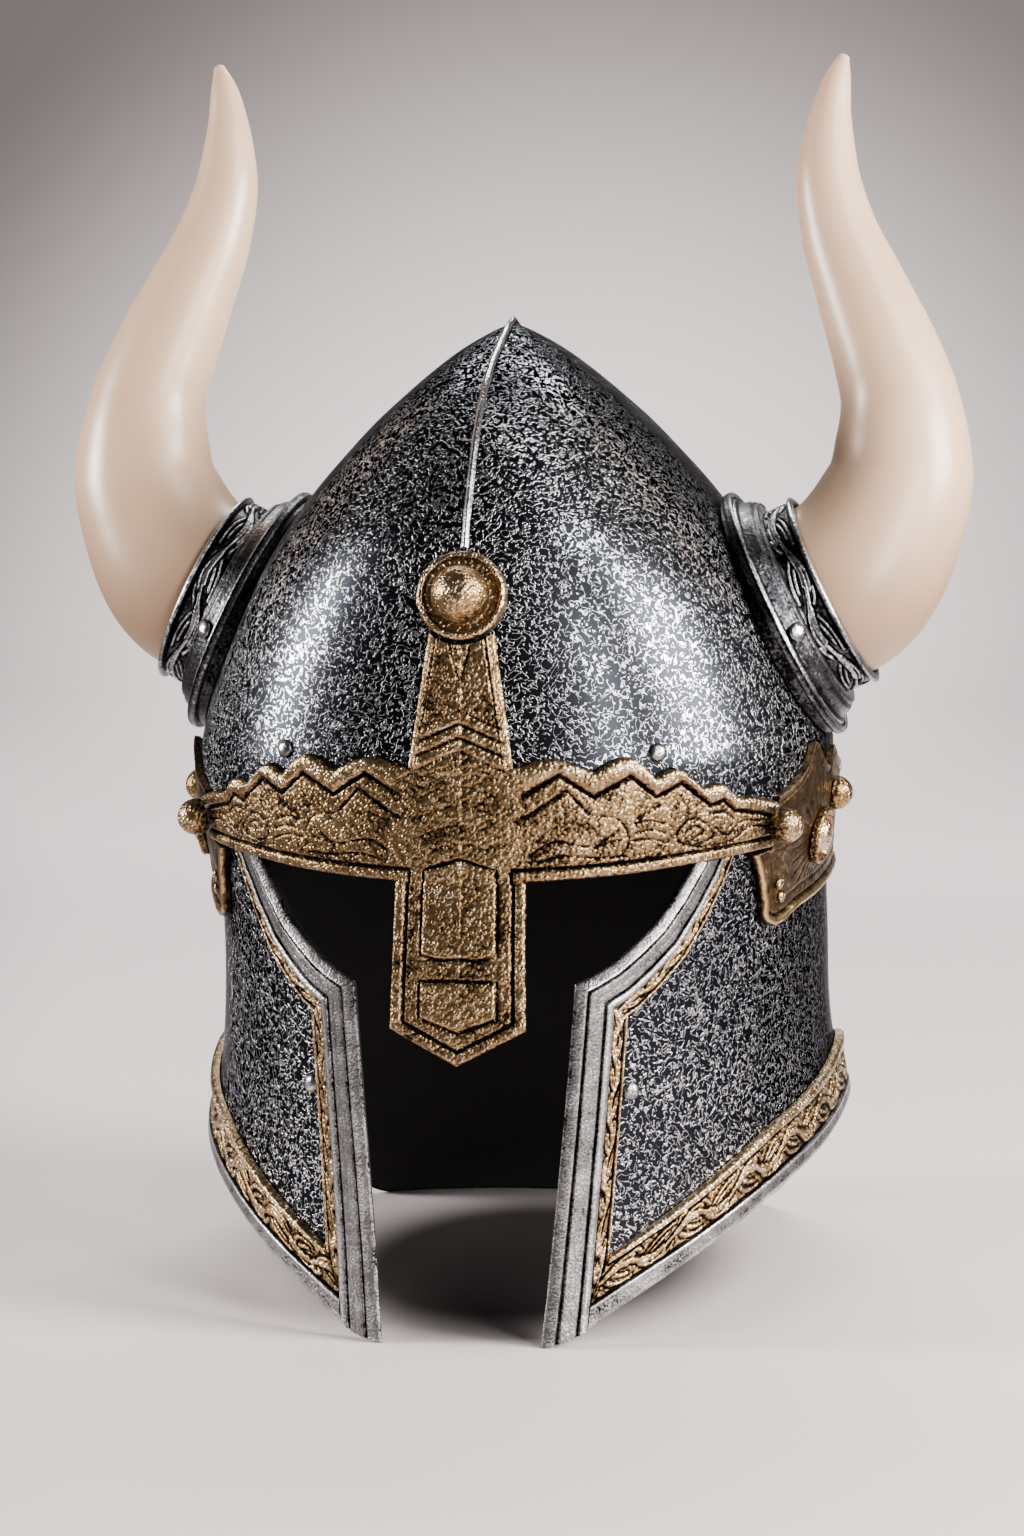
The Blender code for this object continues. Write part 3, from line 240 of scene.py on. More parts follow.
# Temple plate: angle and share of the band's height, then the front edge of its
# lobe as share of the band's height and angle.
PLATE_TOP_ROWS = np.array([
    (57.2, 0.585), (62.0, 0.665), (67.0, 0.785), (71.2, 0.960), (75.0, 0.820),
    (79.5, 0.730), (83.0, 0.890), (87.0, 0.800), (101.0, 0.655)])
PLATE_FOOT_ROWS = np.array([
    (60.9, -0.540), (63.5, -0.520), (69.0, -0.440), (79.0, -0.375), (90.0, -0.315), (101.0, -0.255)])
PLATE_FRONT_ROWS = np.array([
    (-0.540, 60.9), (-0.500, 58.6), (-0.320, 56.4), (-0.100, 54.6), (0.020, 53.2), (0.120, 51.6)])

# Horn centre-line: share of HORN_REACH, share of HORN_RISE, share of its
# diameter in the collar.
HORN_ROWS = np.array([
    (0.885, 0.172, 0.864), (0.985, 0.235, 0.805), (1.000, 0.305, 0.740), (0.960, 0.385, 0.650),
    (0.850, 0.455, 0.600), (0.620, 0.570, 0.514), (0.395, 0.685, 0.421), (0.290, 0.800, 0.332),
    (0.310, 0.895, 0.225), (0.375, 0.965, 0.130), (0.410, 0.990, 0.070)])

# Strands of the leaf scroll, one half of its period: share of the period, share
# of the band's width, foot to tip. The other half is the same, turned over.
SCROLL_STRANDS = [np.array(rows) for rows in (
    [(0.02, 0.56), (0.10, 0.74), (0.20, 0.88), (0.32, 0.90), (0.41, 0.78)],
    [(0.05, 0.50), (0.15, 0.60), (0.26, 0.66), (0.36, 0.58)],
    [(0.12, 0.40), (0.22, 0.22), (0.34, 0.12), (0.48, 0.10)],
    [(0.20, 0.48), (0.30, 0.36), (0.40, 0.28)],
    [(0.38, 0.95), (0.46, 0.86), (0.52, 0.70)],
)]

# Drawing of the nasal bar and its arm, in millimetres: distance from the middle
# and height. The panels stand up from the bar inside their grooved outlines.
PANEL_HALF_WIDTH = 12.5
PANEL_TOP = 167.0
PANEL_FOOT = 133.0
SHIELD_TOP = 125.6
SHIELD_FOOT = 108.4
UPPER_PANEL = np.array([(0, 167.0), (12.5, 163.2), (12.5, 134.3), (6.0, 132.6), (0, 133.2)])
LOWER_PANEL = np.array([(0, 125.8), (12.5, 125.4), (12.5, 113.4), (0, 108.4)])
ARC_HEIGHTS = (170.0, 203.0)
ARC_PITCH = 6.5
CHEVRON_HEIGHTS = (203.5, 217.5)
CHEVRON_PITCH = 4.65
ARM_WEDGE = np.array([(4.4, 245.0), (2.6, 236.0), (0.0, 227.5)])

# Crest rib's section: shares of half its width and of its height.
RIB_SECTION = np.array([
    (-1.0, 0.0), (-1.0, 0.35), (-0.62, 0.62), (-0.30, 0.95), (0.0, 1.0),
    (0.30, 0.95), (0.62, 0.62), (1.0, 0.35), (1.0, 0.0)])

# Turned profiles: share of the radius, share of the height.
BOSS_DISC = [(1.0, 0.0), (1.0, 0.45), (0.985, 0.82), (0.93, 1.0), (0.86, 0.98), (0.80, 0.62), (0.70, 0.55)]
STUD_RING = [(1.0, 0.0), (1.0, 0.42), (0.93, 0.55), (0.84, 0.52), (0.76, 0.16), (0.66, 0.14),
             (0.60, 0.34), (0.42, 0.86), (0.0, 1.0)]
FLANGE_PROFILE = [
    (0.955, -0.42), (0.993, -0.40), (1.0, -0.28), (1.0, -0.02), (0.985, 0.08), (0.965, 0.05),
    (0.955, -0.04), (0.935, 0.02), (0.925, 0.12), (0.90, 0.20), (0.885, 0.36), (0.865, 0.66),
    (0.835, 0.80), (0.825, 0.95), (0.80, 1.0)]
FLANGE_RIVET_SLOPE = ((0.925, 0.10), (0.80, 1.0))

# Sleeve's wall: share of its height, share of its radius. The leaf scroll takes
# the first SLEEVE_FIELD of the height.
SLEEVE_FIELD = 0.74
SLEEVE_LEAVES = 5
SLEEVE_ROWS = np.array([
    (0, 0.965), (0.06, 0.948), (0.74, 0.948), (0.79, 0.935),
    (0.84, 0.985), (0.90, 1.0), (0.96, 0.99), (1.0, 0.965)])

# Mouldings: millimetres across, millimetres high.
FRAME_PROFILE = np.array([
    (0.0, 1.1), (0.6, 1.7), (3.5, 3.15), (3.9, 3.0), (4.6, 2.3), (5.0, 2.75), (10.0, 2.65),
    (10.5, 2.2), (10.9, 2.9), (12.2, 3.2), (13.4, 2.7)])
LIP_PROFILE = np.array([(0.0, 1.9), (0.8, 2.6), (1.6, 2.85), (4.6, 2.75), (5.4, 3.0), (6.0, 2.4)])

# Wear of the mouldings: millimetres across, 0 in a groove to 1 on a rubbed edge.
FRAME_WEAR = np.array([
    (0, 0.35), (3.2, 0.85), (3.7, 0.7), (4.3, 0.0), (5.2, 0.55),
    (10.0, 0.5), (10.4, 0.0), (11.6, 0.9), (13.4, 0.45)])
LIP_WEAR = np.array([(0, 0.7), (1.0, 0.75), (2.0, 0.42), (4.5, 0.45), (5.4, 0.95), (6.0, 0.2)])

# Camera, its roll in degrees, and the paper: floor, quarter circle, low upright end
CAMERA_PLACE = (0.2451, -1.4712, 0.3443)
CAMERA_AIM = (-0.0027, -0.0005, 0.1851)
CAMERA_ROLL = -0.377
PAPER_HALF_WIDTH = 1.6
PAPER_FRONT = -1.6
PAPER_BEND = 0.9
PAPER_RADIUS = 0.6
PAPER_TOP = 0.66

# Settings of nodes that many finishes share
SMOOTH = {"interpolation_type": "SMOOTHSTEP"}
COLOURS = {"data_type": "RGBA"}


def hermite(param, rows, slopes, at):
    """Cubic Hermite curve through rows, with a slope given for each."""
    index = np.clip(np.searchsorted(param, at) - 1, 0, len(param) - 2)
    span = (param[index + 1] - param[index])[..., None]
    t = (at - param[index])[..., None] / span
    return (rows[index] * (1 + 2 * t) * (1 - t) ** 2 + slopes[index] * span * t * (1 - t) ** 2
            + rows[index + 1] * t ** 2 * (3 - 2 * t) + slopes[index + 1] * span * t ** 2 * (t - 1))


def smooth(param, rows, at):
    """Smooth curve through rows; a row beside a level stretch is level."""
    param = np.asarray(param, dtype=float)
    rows = np.asarray(rows, dtype=float).reshape(len(param), -1)
    slopes = np.gradient(rows, param, axis=0)
    steps = np.diff(rows, axis=0)
    slopes[1:-1][steps[:-1] * steps[1:] <= 0] = 0.0
    return hermite(param, rows, slopes, np.asarray(at, dtype=float))


def curve(rows, at):
    """Smooth curve through a table of two columns, read at values of the first."""
    return smooth(rows[:, 0], rows[:, 1], at)[..., 0]


def lookup(rows, at):
    """Straight reading of a table of two columns, at values of the first."""
    return np.interp(at, rows[:, 0], rows[:, 1])


def chord(rows):
    """Running length along a line of rows."""
    return np.concatenate([[0.0], np.cumsum(np.linalg.norm(np.diff(rows, axis=0), axis=1))])


def rounded(rows, count):
    """Smooth curve through a few rows, evenly spread over their running length.

    Its slope at a row is that of the chord between the rows on either side.
    """
    rows = np.asarray(rows, float)
    along = chord(rows)
    return hermite(along, rows, np.gradient(rows, along, axis=0), np.linspace(0, along[-1], count))


def dense_sections(count=600):
    """Heights and reaches of the shell, sampled finely from foot to peak."""
    rows = SHELL_ROWS * (HELMET_HEIGHT, HALF_WIDTH, FRONT_REACH, REAR_REACH, 1.0)
    along = chord(rows[:, :4])
    return smooth(along, rows, np.linspace(0, along[-1], count))


SECTIONS = dense_sections()


def reaches(z):
    """Half width, front and rear reach, and narrowing of the section at height z."""
    values = [np.interp(z, SECTIONS[:, 0], SECTIONS[:, k]) for k in (1, 2, 3, 4)]
    return [np.maximum(v, 1e-6) for v in values]


def keel_share(z):
    """Share of the way from the foot of the keel to the peak at height z."""
    return np.clip((z - KEEL_START) / (HELMET_HEIGHT - KEEL_START), 0, 1)


def lean(z):
    """How far the section's centre stands forward at height z."""
    return PEAK_LEAN * keel_share(z) ** 2


def section_radius(angle, z):
    """Polar radius of the section: an egg-shaped superellipse with a slight keel."""
    side, front, rear, narrowing = reaches(z)
    s, c = np.abs(np.sin(angle)), np.cos(angle)
    side = side * (1 - narrowing * c)
    keel = KEEL * keel_share(z) ** 0.5
    reach = np.where(c > 0, front, rear) / (1 + keel)
    power = SECTION_POWER
    radius = ((s / side) ** power + (np.abs(c) / reach) ** power) ** (-1 / power)
    return radius * (1 + keel * (1 - s) ** 5)


def skin(angle, z):
    """Point of the shell's outer face at an angle in degrees and a height."""
    angle = np.radians(angle)
    radius = section_radius(angle, z)
    return np.stack([radius * np.sin(angle),
                     -radius * np.cos(angle) - lean(z),
                     np.broadcast_to(z, radius.shape)], -1)


def unit(v):
    """Vectors scaled to length one."""
    return v / np.linalg.norm(v, axis=-1, keepdims=True)


def skin_normal(angle, z, turn=0.5, lift=0.0008):
    """Outward normal of the shell, from small steps around and up."""
    around = skin(angle + turn, z) - skin(angle - turn, z)
    up = skin(angle, z + lift) - skin(angle, z - lift)
    return unit(np.cross(around, up))


def on_shell(angle, z, off):
    """Point that stands off the shell's outer face by off, along its normal."""
    angle, z = np.broadcast_arrays(np.asarray(angle, float), np.asarray(z, float))
    off = np.broadcast_to(off, angle.shape)
    return skin(angle, z) + skin_normal(angle, z) * off[..., None]


def to_flat(angle, z):
    """Angle and height as a flat layout, in metres."""
    angle, z = np.broadcast_arrays(np.asarray(angle, float), np.asarray(z, float))
    return np.stack([np.radians(angle) * UNROLL, z], -1)


def to_angle(flat):
    """Angle in degrees and height of points in the flat layout."""
    return np.degrees(flat[..., 0] / UNROLL), flat[..., 1]


def band_height(share):
    """Height of a share of the brow band."""
    return BAND_BOTTOM + (BAND_TOP - BAND_BOTTOM) * np.asarray(share)


def band_foot(angle):
    """Lower edge of the brow band."""
    return band_height(curve(BAND_FOOT_ROWS, np.abs(angle)))


def band_crown(angle):
    """Scalloped upper edge of the brow band."""
    return band_height(curve(SCALLOP_ROWS, np.abs(angle)))


def rim_height(angle):
    """Height of the bottom rim, the same on both sides."""
    away = np.where(angle > 180, 360 - angle, angle)
    return curve(RIM_ROWS, away) * RIM_RISE


def scoop_line():
    """Top of the cheek in the flat layout, corner to brow."""
    return to_flat(CORNER_ANGLE + (BROW_ANGLE - CORNER_ANGLE) * SCOOP_ROWS[:, 0],
                   CORNER_HEIGHT + (BROW_HEIGHT - CORNER_HEIGHT) * SCOOP_ROWS[:, 1])


def edge_line():
    """Side of the face opening in the flat layout, tip to corner."""
    return to_flat(TIP_ANGLE + (CORNER_ANGLE - TIP_ANGLE) * EDGE_ROWS[:, 1],
                   CORNER_HEIGHT * EDGE_ROWS[:, 0])


def offset_line(line, distance):
    """Line moved to its right-hand side, mitred at its corners."""
    step = unit(np.diff(line, axis=0))
    right = np.stack([step[:, 1], -step[:, 0]], -1)
    before = np.vstack([right[:1], right])
    after = np.vstack([right, right[-1:]])
    bisector = unit(before + after)
    stretch = 1 / np.maximum((bisector * before).sum(1), 0.4)
    return line + bisector * (stretch * distance)[:, None]


def opening_offset(distance):
    """Face opening's edge moved into the metal, tip to brow."""
    edge, scoop = edge_line(), scoop_line()
    share = np.concatenate([np.ones(len(edge)), 1 - (1 - FRAME_NARROWING) * SCOOP_ROWS[1:, 1]])
    return offset_line(np.vstack([edge, scoop[1:]]), distance * share)


def rim_offset(distance, count=361):
    """Bottom rim moved up into the metal, cheek tip to middle of the back."""
    angle = np.linspace(RIM_ROWS[0, 0], 180, count)
    line = to_flat(angle, rim_height(angle))
    left = offset_line(line, -np.broadcast_to(distance, (count,)))
    left[-1, 0] = line[-1, 0]
    return left


def hem_width(angle):
    """Width of the hem above the rim, which grows towards the side."""
    away = np.where(angle > 180, 360 - angle, angle)
    start, end = HEM_WIDENING
    return HEM_WIDTH + (HEM_SIDE_WIDTH - HEM_WIDTH) * np.clip((away - start) / (end - start), 0, 1)


def hem_offset(share, count=361):
    """Line at a share of the brass hem's width above the silver lip."""
    angle = np.linspace(RIM_ROWS[0, 0], 180, count)
    foot = LIP_WIDTH + GAP
    return rim_offset(foot + (hem_width(angle) - foot) * share, count)


def dense(line, per_step=8):
    """Line with more points on each of its straight steps."""
    t = np.linspace(0, len(line) - 1, (len(line) - 1) * per_step + 1)
    k = np.minimum(t.astype(int), len(line) - 2)
    return line[k] + (t - k)[:, None] * (line[k + 1] - line[k])


def crossing(steep, flat):
    """Where a steep line, given from its foot up, first rises past a flat one."""
    order = np.argsort(flat[:, 0])
    steep = np.vstack([2 * steep[0] - steep[1], steep])
    over = steep[:, 1] - np.interp(steep[:, 0], flat[order, 0], flat[order, 1])
    k = int(np.argmax(over > 0))
    t = -over[k - 1] / (over[k] - over[k - 1])
    return k - 1, steep[k - 1] + t * (steep[k] - steep[k - 1])


def line_distance(points, line):
    """Distance to a bent line: the least over its straight stretches."""
    near = np.full(points.shape[:-1], np.inf)
    for a, b in zip(line[:-1], line[1:]):
        step = b - a
        t = np.clip(((points - a) @ step) / max(step @ step, 1e-12), 0, 1)
        near = np.minimum(near, np.linalg.norm(points - a - t[..., None] * step, axis=-1))
    return near


def groove(distance, half_width, depth):
    """Rounded groove: depth times the bell curve of distance over half width."""
    return -depth * np.exp(-(distance / half_width) ** 2)


def bead(distance, half_width, height):
    """Half-round ridge: height times the root of one less the squared share."""
    return height * np.sqrt(np.clip(1 - (distance / half_width) ** 2, 0, 1))


def step_up(value, low, high):
    """Share of the way from low to high, eased at both ends."""
    t = np.clip((value - low) / (high - low), 0, 1)
    return t * t * (3 - 2 * t)


def ripple(a, b, size, seed):
    """Gentle unevenness of a cast surface: six sine waves of mixed directions."""
    rng = np.random.default_rng(seed)
    total = 0.0
    for _ in range(6):
        turn, phase = rng.uniform(0, 2 * np.pi, 2)
        wave = size * rng.uniform(0.7, 1.6)
        total = total + np.sin((a * np.cos(turn) + b * np.sin(turn)) * 2 * np.pi / wave + phase)
    return total / 6


def grid_quads(rows, columns, wrap=False):
    """Corner numbers of a grid's quads; wrap joins the last column to the first."""
    i = np.arange(rows - 1)[:, None] * columns
    j = np.arange(columns if wrap else columns - 1)[None, :]
    ahead = (j + 1) % columns
    return np.stack([i + j, i + ahead, i + columns + ahead, i + columns + j], -1)


def hex_colour(code):
    """Linear colour of an sRGB hex code."""
    value = np.array([int(code[k:k + 2], 16) for k in (1, 3, 5)]) / 255
    return (*np.where(value <= 0.04045, value / 12.92, ((value + 0.055) / 1.055) ** 2.4), 1.0)


def make_mesh(name, points, quads, relief, parts=None, sharp=40):
    """Mesh from corners and quads, with corners in one place merged.

    relief is one value per corner: 0 in the bottom of a groove, about 0.5 on the
    plain surface, 1 on an edge that wear has polished. parts is one material
    number per quad.
    """
    flat = np.round(points, 7)
    _, first, which = np.unique(flat, axis=0, return_index=True, return_inverse=True)
    quads = which.reshape(-1)[quads]
    points, relief = points[first], relief[first]
    parts = np.zeros(len(quads), int) if parts is None else parts
    same = quads == np.roll(quads, -1, axis=1)
    count = same.sum(1)
    faces = [quads[count == 0]]
    numbers = [parts[count == 0]]
    for k in range(4):
        pick = (count == 1) & same[:, k]
        faces.append(np.delete(quads[pick], k, axis=1))
        numbers.append(parts[pick])
    used, place = np.unique(np.concatenate([f.ravel() for f in faces]), return_inverse=True)
    mesh = bpy.data.meshes.new(name)
    mesh.vertices.add(len(used))
    mesh.vertices.foreach_set("co", points[used].ravel())
    mesh.loops.add(len(place))
    mesh.loops.foreach_set("vertex_index", place.ravel())
    sizes = np.concatenate([np.full(len(f), f.shape[1]) for f in faces])
    mesh.polygons.add(len(sizes))
    mesh.polygons.foreach_set("loop_start", np.cumsum(sizes) - sizes)
    mesh.polygons.foreach_set("material_index", np.concatenate(numbers))
    mesh.update(calc_edges=True)
    mesh.attributes.new("relief", "FLOAT", "POINT").data.foreach_set("value", np.clip(relief[used], 0, 1))
    mesh.shade_smooth()
    mesh.set_sharp_from_angle(angle=np.radians(sharp))
    return mesh


def add_piece(name, points, quads, relief, finishes, nodes, parts=None, sharp=40):
    """Object of one piece, riding on the helmet's body in place of its CAD nodes."""
    mesh = make_mesh(name, points.reshape(-1, 3), quads.reshape(-1, 4), relief.ravel(), parts, sharp)
    piece = bpy.data.objects.new(name, mesh)
    for finish in finishes:
        mesh.materials.append(bpy.data.materials[finish])
    bpy.context.scene.collection.objects.link(piece)
    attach(piece, "root")
    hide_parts(*nodes)


def add_pair(name, points, quads, relief, finishes, node, parts=None, sharp=40):
    """The same piece on the wearer's left and, mirrored, on the right."""
    quads = quads.reshape(-1, 4)
    add_piece(name + "_left", points, quads, relief, finishes, [node + "_L"], parts, sharp)
    add_piece(name + "_right", points * (-1, 1, 1), quads[:, ::-1], relief, finishes,
              [node + "_R"], parts, sharp)


def laid(angle, z, height, relief, under=SEAT):
    """Sheet laid on the shell, with a wall down to the seat all round its edge.

    Each corner is the shell's point at its angle and height, moved along the
    normal by its own thickness; one more ring of corners repeats the edge at
    the seat.
    """
    ring = ((1, 1), (1, 1))
    angle, z, relief = (np.pad(a, ring, mode="edge") for a in (angle, z, relief))
    height = np.pad(height, ring, constant_values=under)
    return on_shell(angle, z, height), relief


def directions(axis, turn):
    """Directions square to an axis, at angles in radians about it."""
    first = unit(np.cross((0.0, 0.0, 1.0), axis))
    return np.cos(turn)[..., None] * first + np.sin(turn)[..., None] * np.cross(axis, first)


def turned_profile(centre, axis, profile, around, relief=0.5):
    """Profile of radius and height turned about an axis, on a grid.

    A corner is the centre, plus the radius along a turning direction, plus the
    height along the axis. Rows run along the profile, columns around it.
    """
    circle = directions(axis, np.linspace(0, 2 * np.pi, around, endpoint=False))
    profile = np.asarray(profile, float)
    points = centre + profile[:, 0, None, None] * circle + profile[:, 1, None, None] * axis
    return points, np.broadcast_to(np.reshape(relief, (-1, 1)), points.shape[:2]).copy()


def corners(profile, per_step=4, ease=0.25):
    """Profile with each of its corners rounded over a share of its steps."""
    profile = np.asarray(profile, float)
    cuts = []
    for a, b in zip(profile[:-1], profile[1:]):
        cuts += [a + (b - a) * ease, b - (b - a) * ease]
    rows = [profile[:1]]
    t = np.linspace(0, 1, per_step)[:, None]
    for k, corner in enumerate(profile[1:-1]):
        a, b = cuts[2 * k + 1], cuts[2 * k + 2]
        rows.append(a * (1 - t) ** 2 + 2 * corner * t * (1 - t) + b * t ** 2)
    rows.append(profile[-1:])
    return np.vstack(rows)


def ball_profile(radius, sunk, count=14):
    """Ball cut flat at its foot, its centre at radius times sunk above it."""
    turn = np.linspace(-np.arcsin(sunk), np.pi / 2, count)
    return np.stack([radius * np.cos(turn), radius * (sunk + np.sin(turn))], 1)


def rivet_profile(radius, rise, start=0.25):
    """Low round head of a rivet, with a short upright edge."""
    turn = np.linspace(start, np.pi / 2, 8)
    dome = np.stack([radius * np.cos(turn) / np.cos(start), rise * np.sin(turn)], 1)
    return np.vstack([[(radius, 0.0)], dome])


def shell_seat(angle, z, off):
    """Point on the shell, and its normal, where a turned piece is seated."""
    angle, z = np.array(float(angle)), np.array(float(z))
    return on_shell(angle, z, off), skin_normal(angle, z)


def scroll_relief(along, across, period, width=11.0):
    """Leaf scroll: a wavy stem with curling strands on either side.

    along, the width and the period are in millimetres, across is a share of the
    width. The stem is one sine wave. Each strand is a half-round ridge about its
    curve, and the second half of a period repeats the first upside down. Given
    back are the ridges and the thin outline round them, each from 0 to 1.
    """
    cell = np.stack([along % period, across * width], -1)
    wave = np.linspace(-0.25, 1.25, 40)
    stem = np.stack([wave * period, (0.5 + 0.24 * np.sin(2 * np.pi * wave)) * width], -1)
    share = line_distance(cell, stem) / 0.95
    for rows in SCROLL_STRANDS:
        strand = rounded(rows * (period, width), 9)
        for shift in (-1, 0, 1):
            for flip in (False, True):
                moved = strand + (shift * period, 0)
                if flip:
                    moved = strand * (1, -1) + ((shift + 0.5) * period, width)
                share = np.minimum(share, line_distance(cell, moved) / 0.75)
    return bead(share, 1.0, 1.0), np.exp(-((share - 1.25) / 0.35) ** 2)


def opening_strip_line(distance, foot_line, stations):
    """Line along the opening at a distance, cut by a foot line and the brow band.

    Its points are spread evenly over the side and over the scooped top, so that
    every such line has its corner at the same place.
    """
    line = opening_offset(distance)
    corner = len(EDGE_ROWS) - 1
    side, scoop = dense(line[:corner + 1]), dense(line[corner:])
    k, foot = crossing(side, foot_line)
    side = np.vstack([foot, side[k:]])
    angle, z = to_angle(scoop)
    over = z - (band_foot(np.minimum(angle, BAND_END_ANGLE)) - GAP)
    k = int(np.argmax(over > 0))
    t = -over[k - 1] / (over[k] - over[k - 1])
    scoop = np.vstack([scoop[:k], scoop[k - 1] + t * (scoop[k] - scoop[k - 1])])
    parts = []
    for part, count in ((side, stations[0]), (scoop, stations[1])):
        along = chord(part)
        at = np.linspace(0, along[-1], count)
        parts.append(np.stack([np.interp(at, along, part[:, c]) for c in (0, 1)], 1))
    return np.vstack([parts[0], parts[1][1:]])


def round_the_back(line, start, stations):
    """Line from a start point to the middle of the back and on to the other side."""
    order = np.argsort(line[:, 0])
    back = np.pi * UNROLL
    s = start[0] + (back - start[0]) * np.linspace(0, 1, stations)
    z = np.interp(s, line[order, 0], line[order, 1])
    z[0] = start[1]
    return np.stack([np.concatenate([s, 2 * back - s[-2::-1]]), np.concatenate([z, z[-2::-1]])], -1)


def build_skull(around=300, rows=130, inner_rows=20):
    """Dome: inner face from the peak down to the seam, then outer face up to the peak.

    A corner is the shell's point at its angle and height; the inner face is the
    same moved in along the normal by the wall.
    """
    start = np.searchsorted(SECTIONS[:, 0], SEAM_HEIGHT)
    top = len(SECTIONS) - 1
    turn = np.linspace(0, 2 * np.pi, around, endpoint=False)

    def ring_angles(count):
        """Heights of the rings and the angles of their corners."""
        height = np.interp(np.linspace(start, top, count + 1)[:-1], np.arange(top + 1), SECTIONS[:, 0])
        height[0] = SEAM_HEIGHT
        side, front, rear, _ = (v[:, None] for v in reaches(height))
        reach = np.where(np.cos(turn) > 0, front, rear)
        return np.degrees(np.arctan2(side * np.sin(turn), reach * np.cos(turn))), height[:, None]

    outer = on_shell(*ring_angles(rows), 0.0)
    inner = on_shell(*ring_angles(inner_rows), -WALL)[::-1]
    inner[-1, :, 2] = SEAM_HEIGHT
    peak = np.array([0, -PEAK_LEAN, HELMET_HEIGHT])
    pole = np.broadcast_to(peak, (1, around, 3))
    points = np.concatenate([pole - (0, 0, PEAK_WALL), inner, outer, pole])
    parts = np.repeat(np.arange(len(points) - 1) < inner_rows, around).astype(int)
    add_piece("dome", points, grid_quads(len(points), around, True), np.full(points.shape[:2], 0.5),
              ["etched blackened steel", "black painted steel"], ["skull"], parts)


def build_face_guard(rows=46):
    """Lower shell: columns from the rim up to the opening's edge or the seam.

    Each column runs up the outer face, over the edge and down the inner face.
    """
    edge = dense(opening_offset(GUARD_INSET))
    rim = rim_offset(GUARD_INSET)
    k, tip = crossing(edge, rim)
    line = np.vstack([tip, edge[k:]])
    brow = SEAM_HEIGHT - GAP
    under = int(np.argmax(line[:, 1] > brow))
    share = (brow - line[under - 1, 1]) / (line[under, 1] - line[under - 1, 1])
    end = line[under - 1] + share * (line[under] - line[under - 1])
    line = np.vstack([line[:under], end])
    side = int(np.argmax(line[:, 1] >= CORNER_HEIGHT * 0.999))
    fine = np.interp(np.linspace(0, side, 26), np.arange(len(line)), line[:, 0])
    scoop = np.interp(np.linspace(side, len(line) - 1, 40)[1:], np.arange(len(line)), line[:, 0])
    back = np.linspace(end[0], np.pi * UNROLL, 170)[1:]
    s = np.concatenate([fine, scoop, back])
    front = np.interp(np.concatenate([fine, scoop]), line[:, 0], line[:, 1])
    top = np.concatenate([front, np.full(len(back), brow)])
    order = np.argsort(rim[:, 0])
    foot = np.minimum(np.interp(s, rim[order, 0], rim[order, 1]), top)
    angle = np.degrees(s / UNROLL)
    angle = np.concatenate([angle, 360 - angle[-2::-1]])
    foot, top = (np.concatenate([a, a[-2::-1]]) for a in (foot, top))
    up = np.linspace(0, 1, rows)[:, None]
    down = np.linspace(1, 0, 12)[:, None]
    outer_z, inner_z = foot + (top - foot) * up, foot + (top - foot) * down
    inner = on_shell(angle, inner_z, -WALL)
    inner[..., 2] = inner_z
    points = np.concatenate([on_shell(angle, outer_z, 0.0), inner])
    points = np.concatenate([points, points[:1]])
    quads = grid_quads(len(points), points.shape[1])
    parts = np.repeat(np.arange(len(points) - 1) >= rows - 1, points.shape[1] - 1).astype(int)
    add_piece("face_shell", points, quads, np.full(points.shape[:2], 0.5),
              ["etched blackened steel", "black painted steel"], ["face_guard"], parts)


def build_crest_rib(stations=260):
    """Rib along the ridge: a low rounded profile carried along the ridge line."""
    climb = -skin_normal(np.array(0.0), np.array(BOSS_HEIGHT))[1]
    clear = BOSS_HEIGHT + (BOSS_RADIUS + 2 * SEAT) * climb
    numbers = np.arange(len(SECTIONS))
    start, end = (np.interp(h, SECTIONS[:, 0], numbers) for h in (clear, NAPE_TOP + 2 * GAP))
    front = np.interp(np.linspace(start, numbers[-1], stations // 2), numbers, SECTIONS[:, 0])
    rear = np.interp(np.linspace(numbers[-1], end, stations // 2), numbers, SECTIONS[:, 0])[1:]
    line = np.vstack([skin(np.zeros(len(front)), front), skin(np.full(len(rear), 180.0), rear)])
    line[len(front) - 1, 0] = 0.0
    tangent = unit(np.gradient(line, axis=0))
    across = np.array([1.0, 0.0, 0.0])
    normal = np.cross(across, tangent)
    wear = 0.85 + 0.15 * ripple(chord(line), 0 * line[:, 0], 0.011, 3)
    width = RIB_WIDTH / 2 * RIB_SECTION[:, 0] * wear[:, None]
    lift = SEAT + RIB_PROUD * RIB_SECTION[:, 1] * wear[:, None]
    points = line[:, None] + across * width[..., None] + normal[:, None] * lift[..., None]
    relief = np.broadcast_to(RIB_SECTION[:, 1], points.shape[:2])
    add_piece("crest_rib_bar", points, grid_quads(*points.shape[:2], True)[..., ::-1], relief,
              ["burnished silver"], ["crest_rib"])


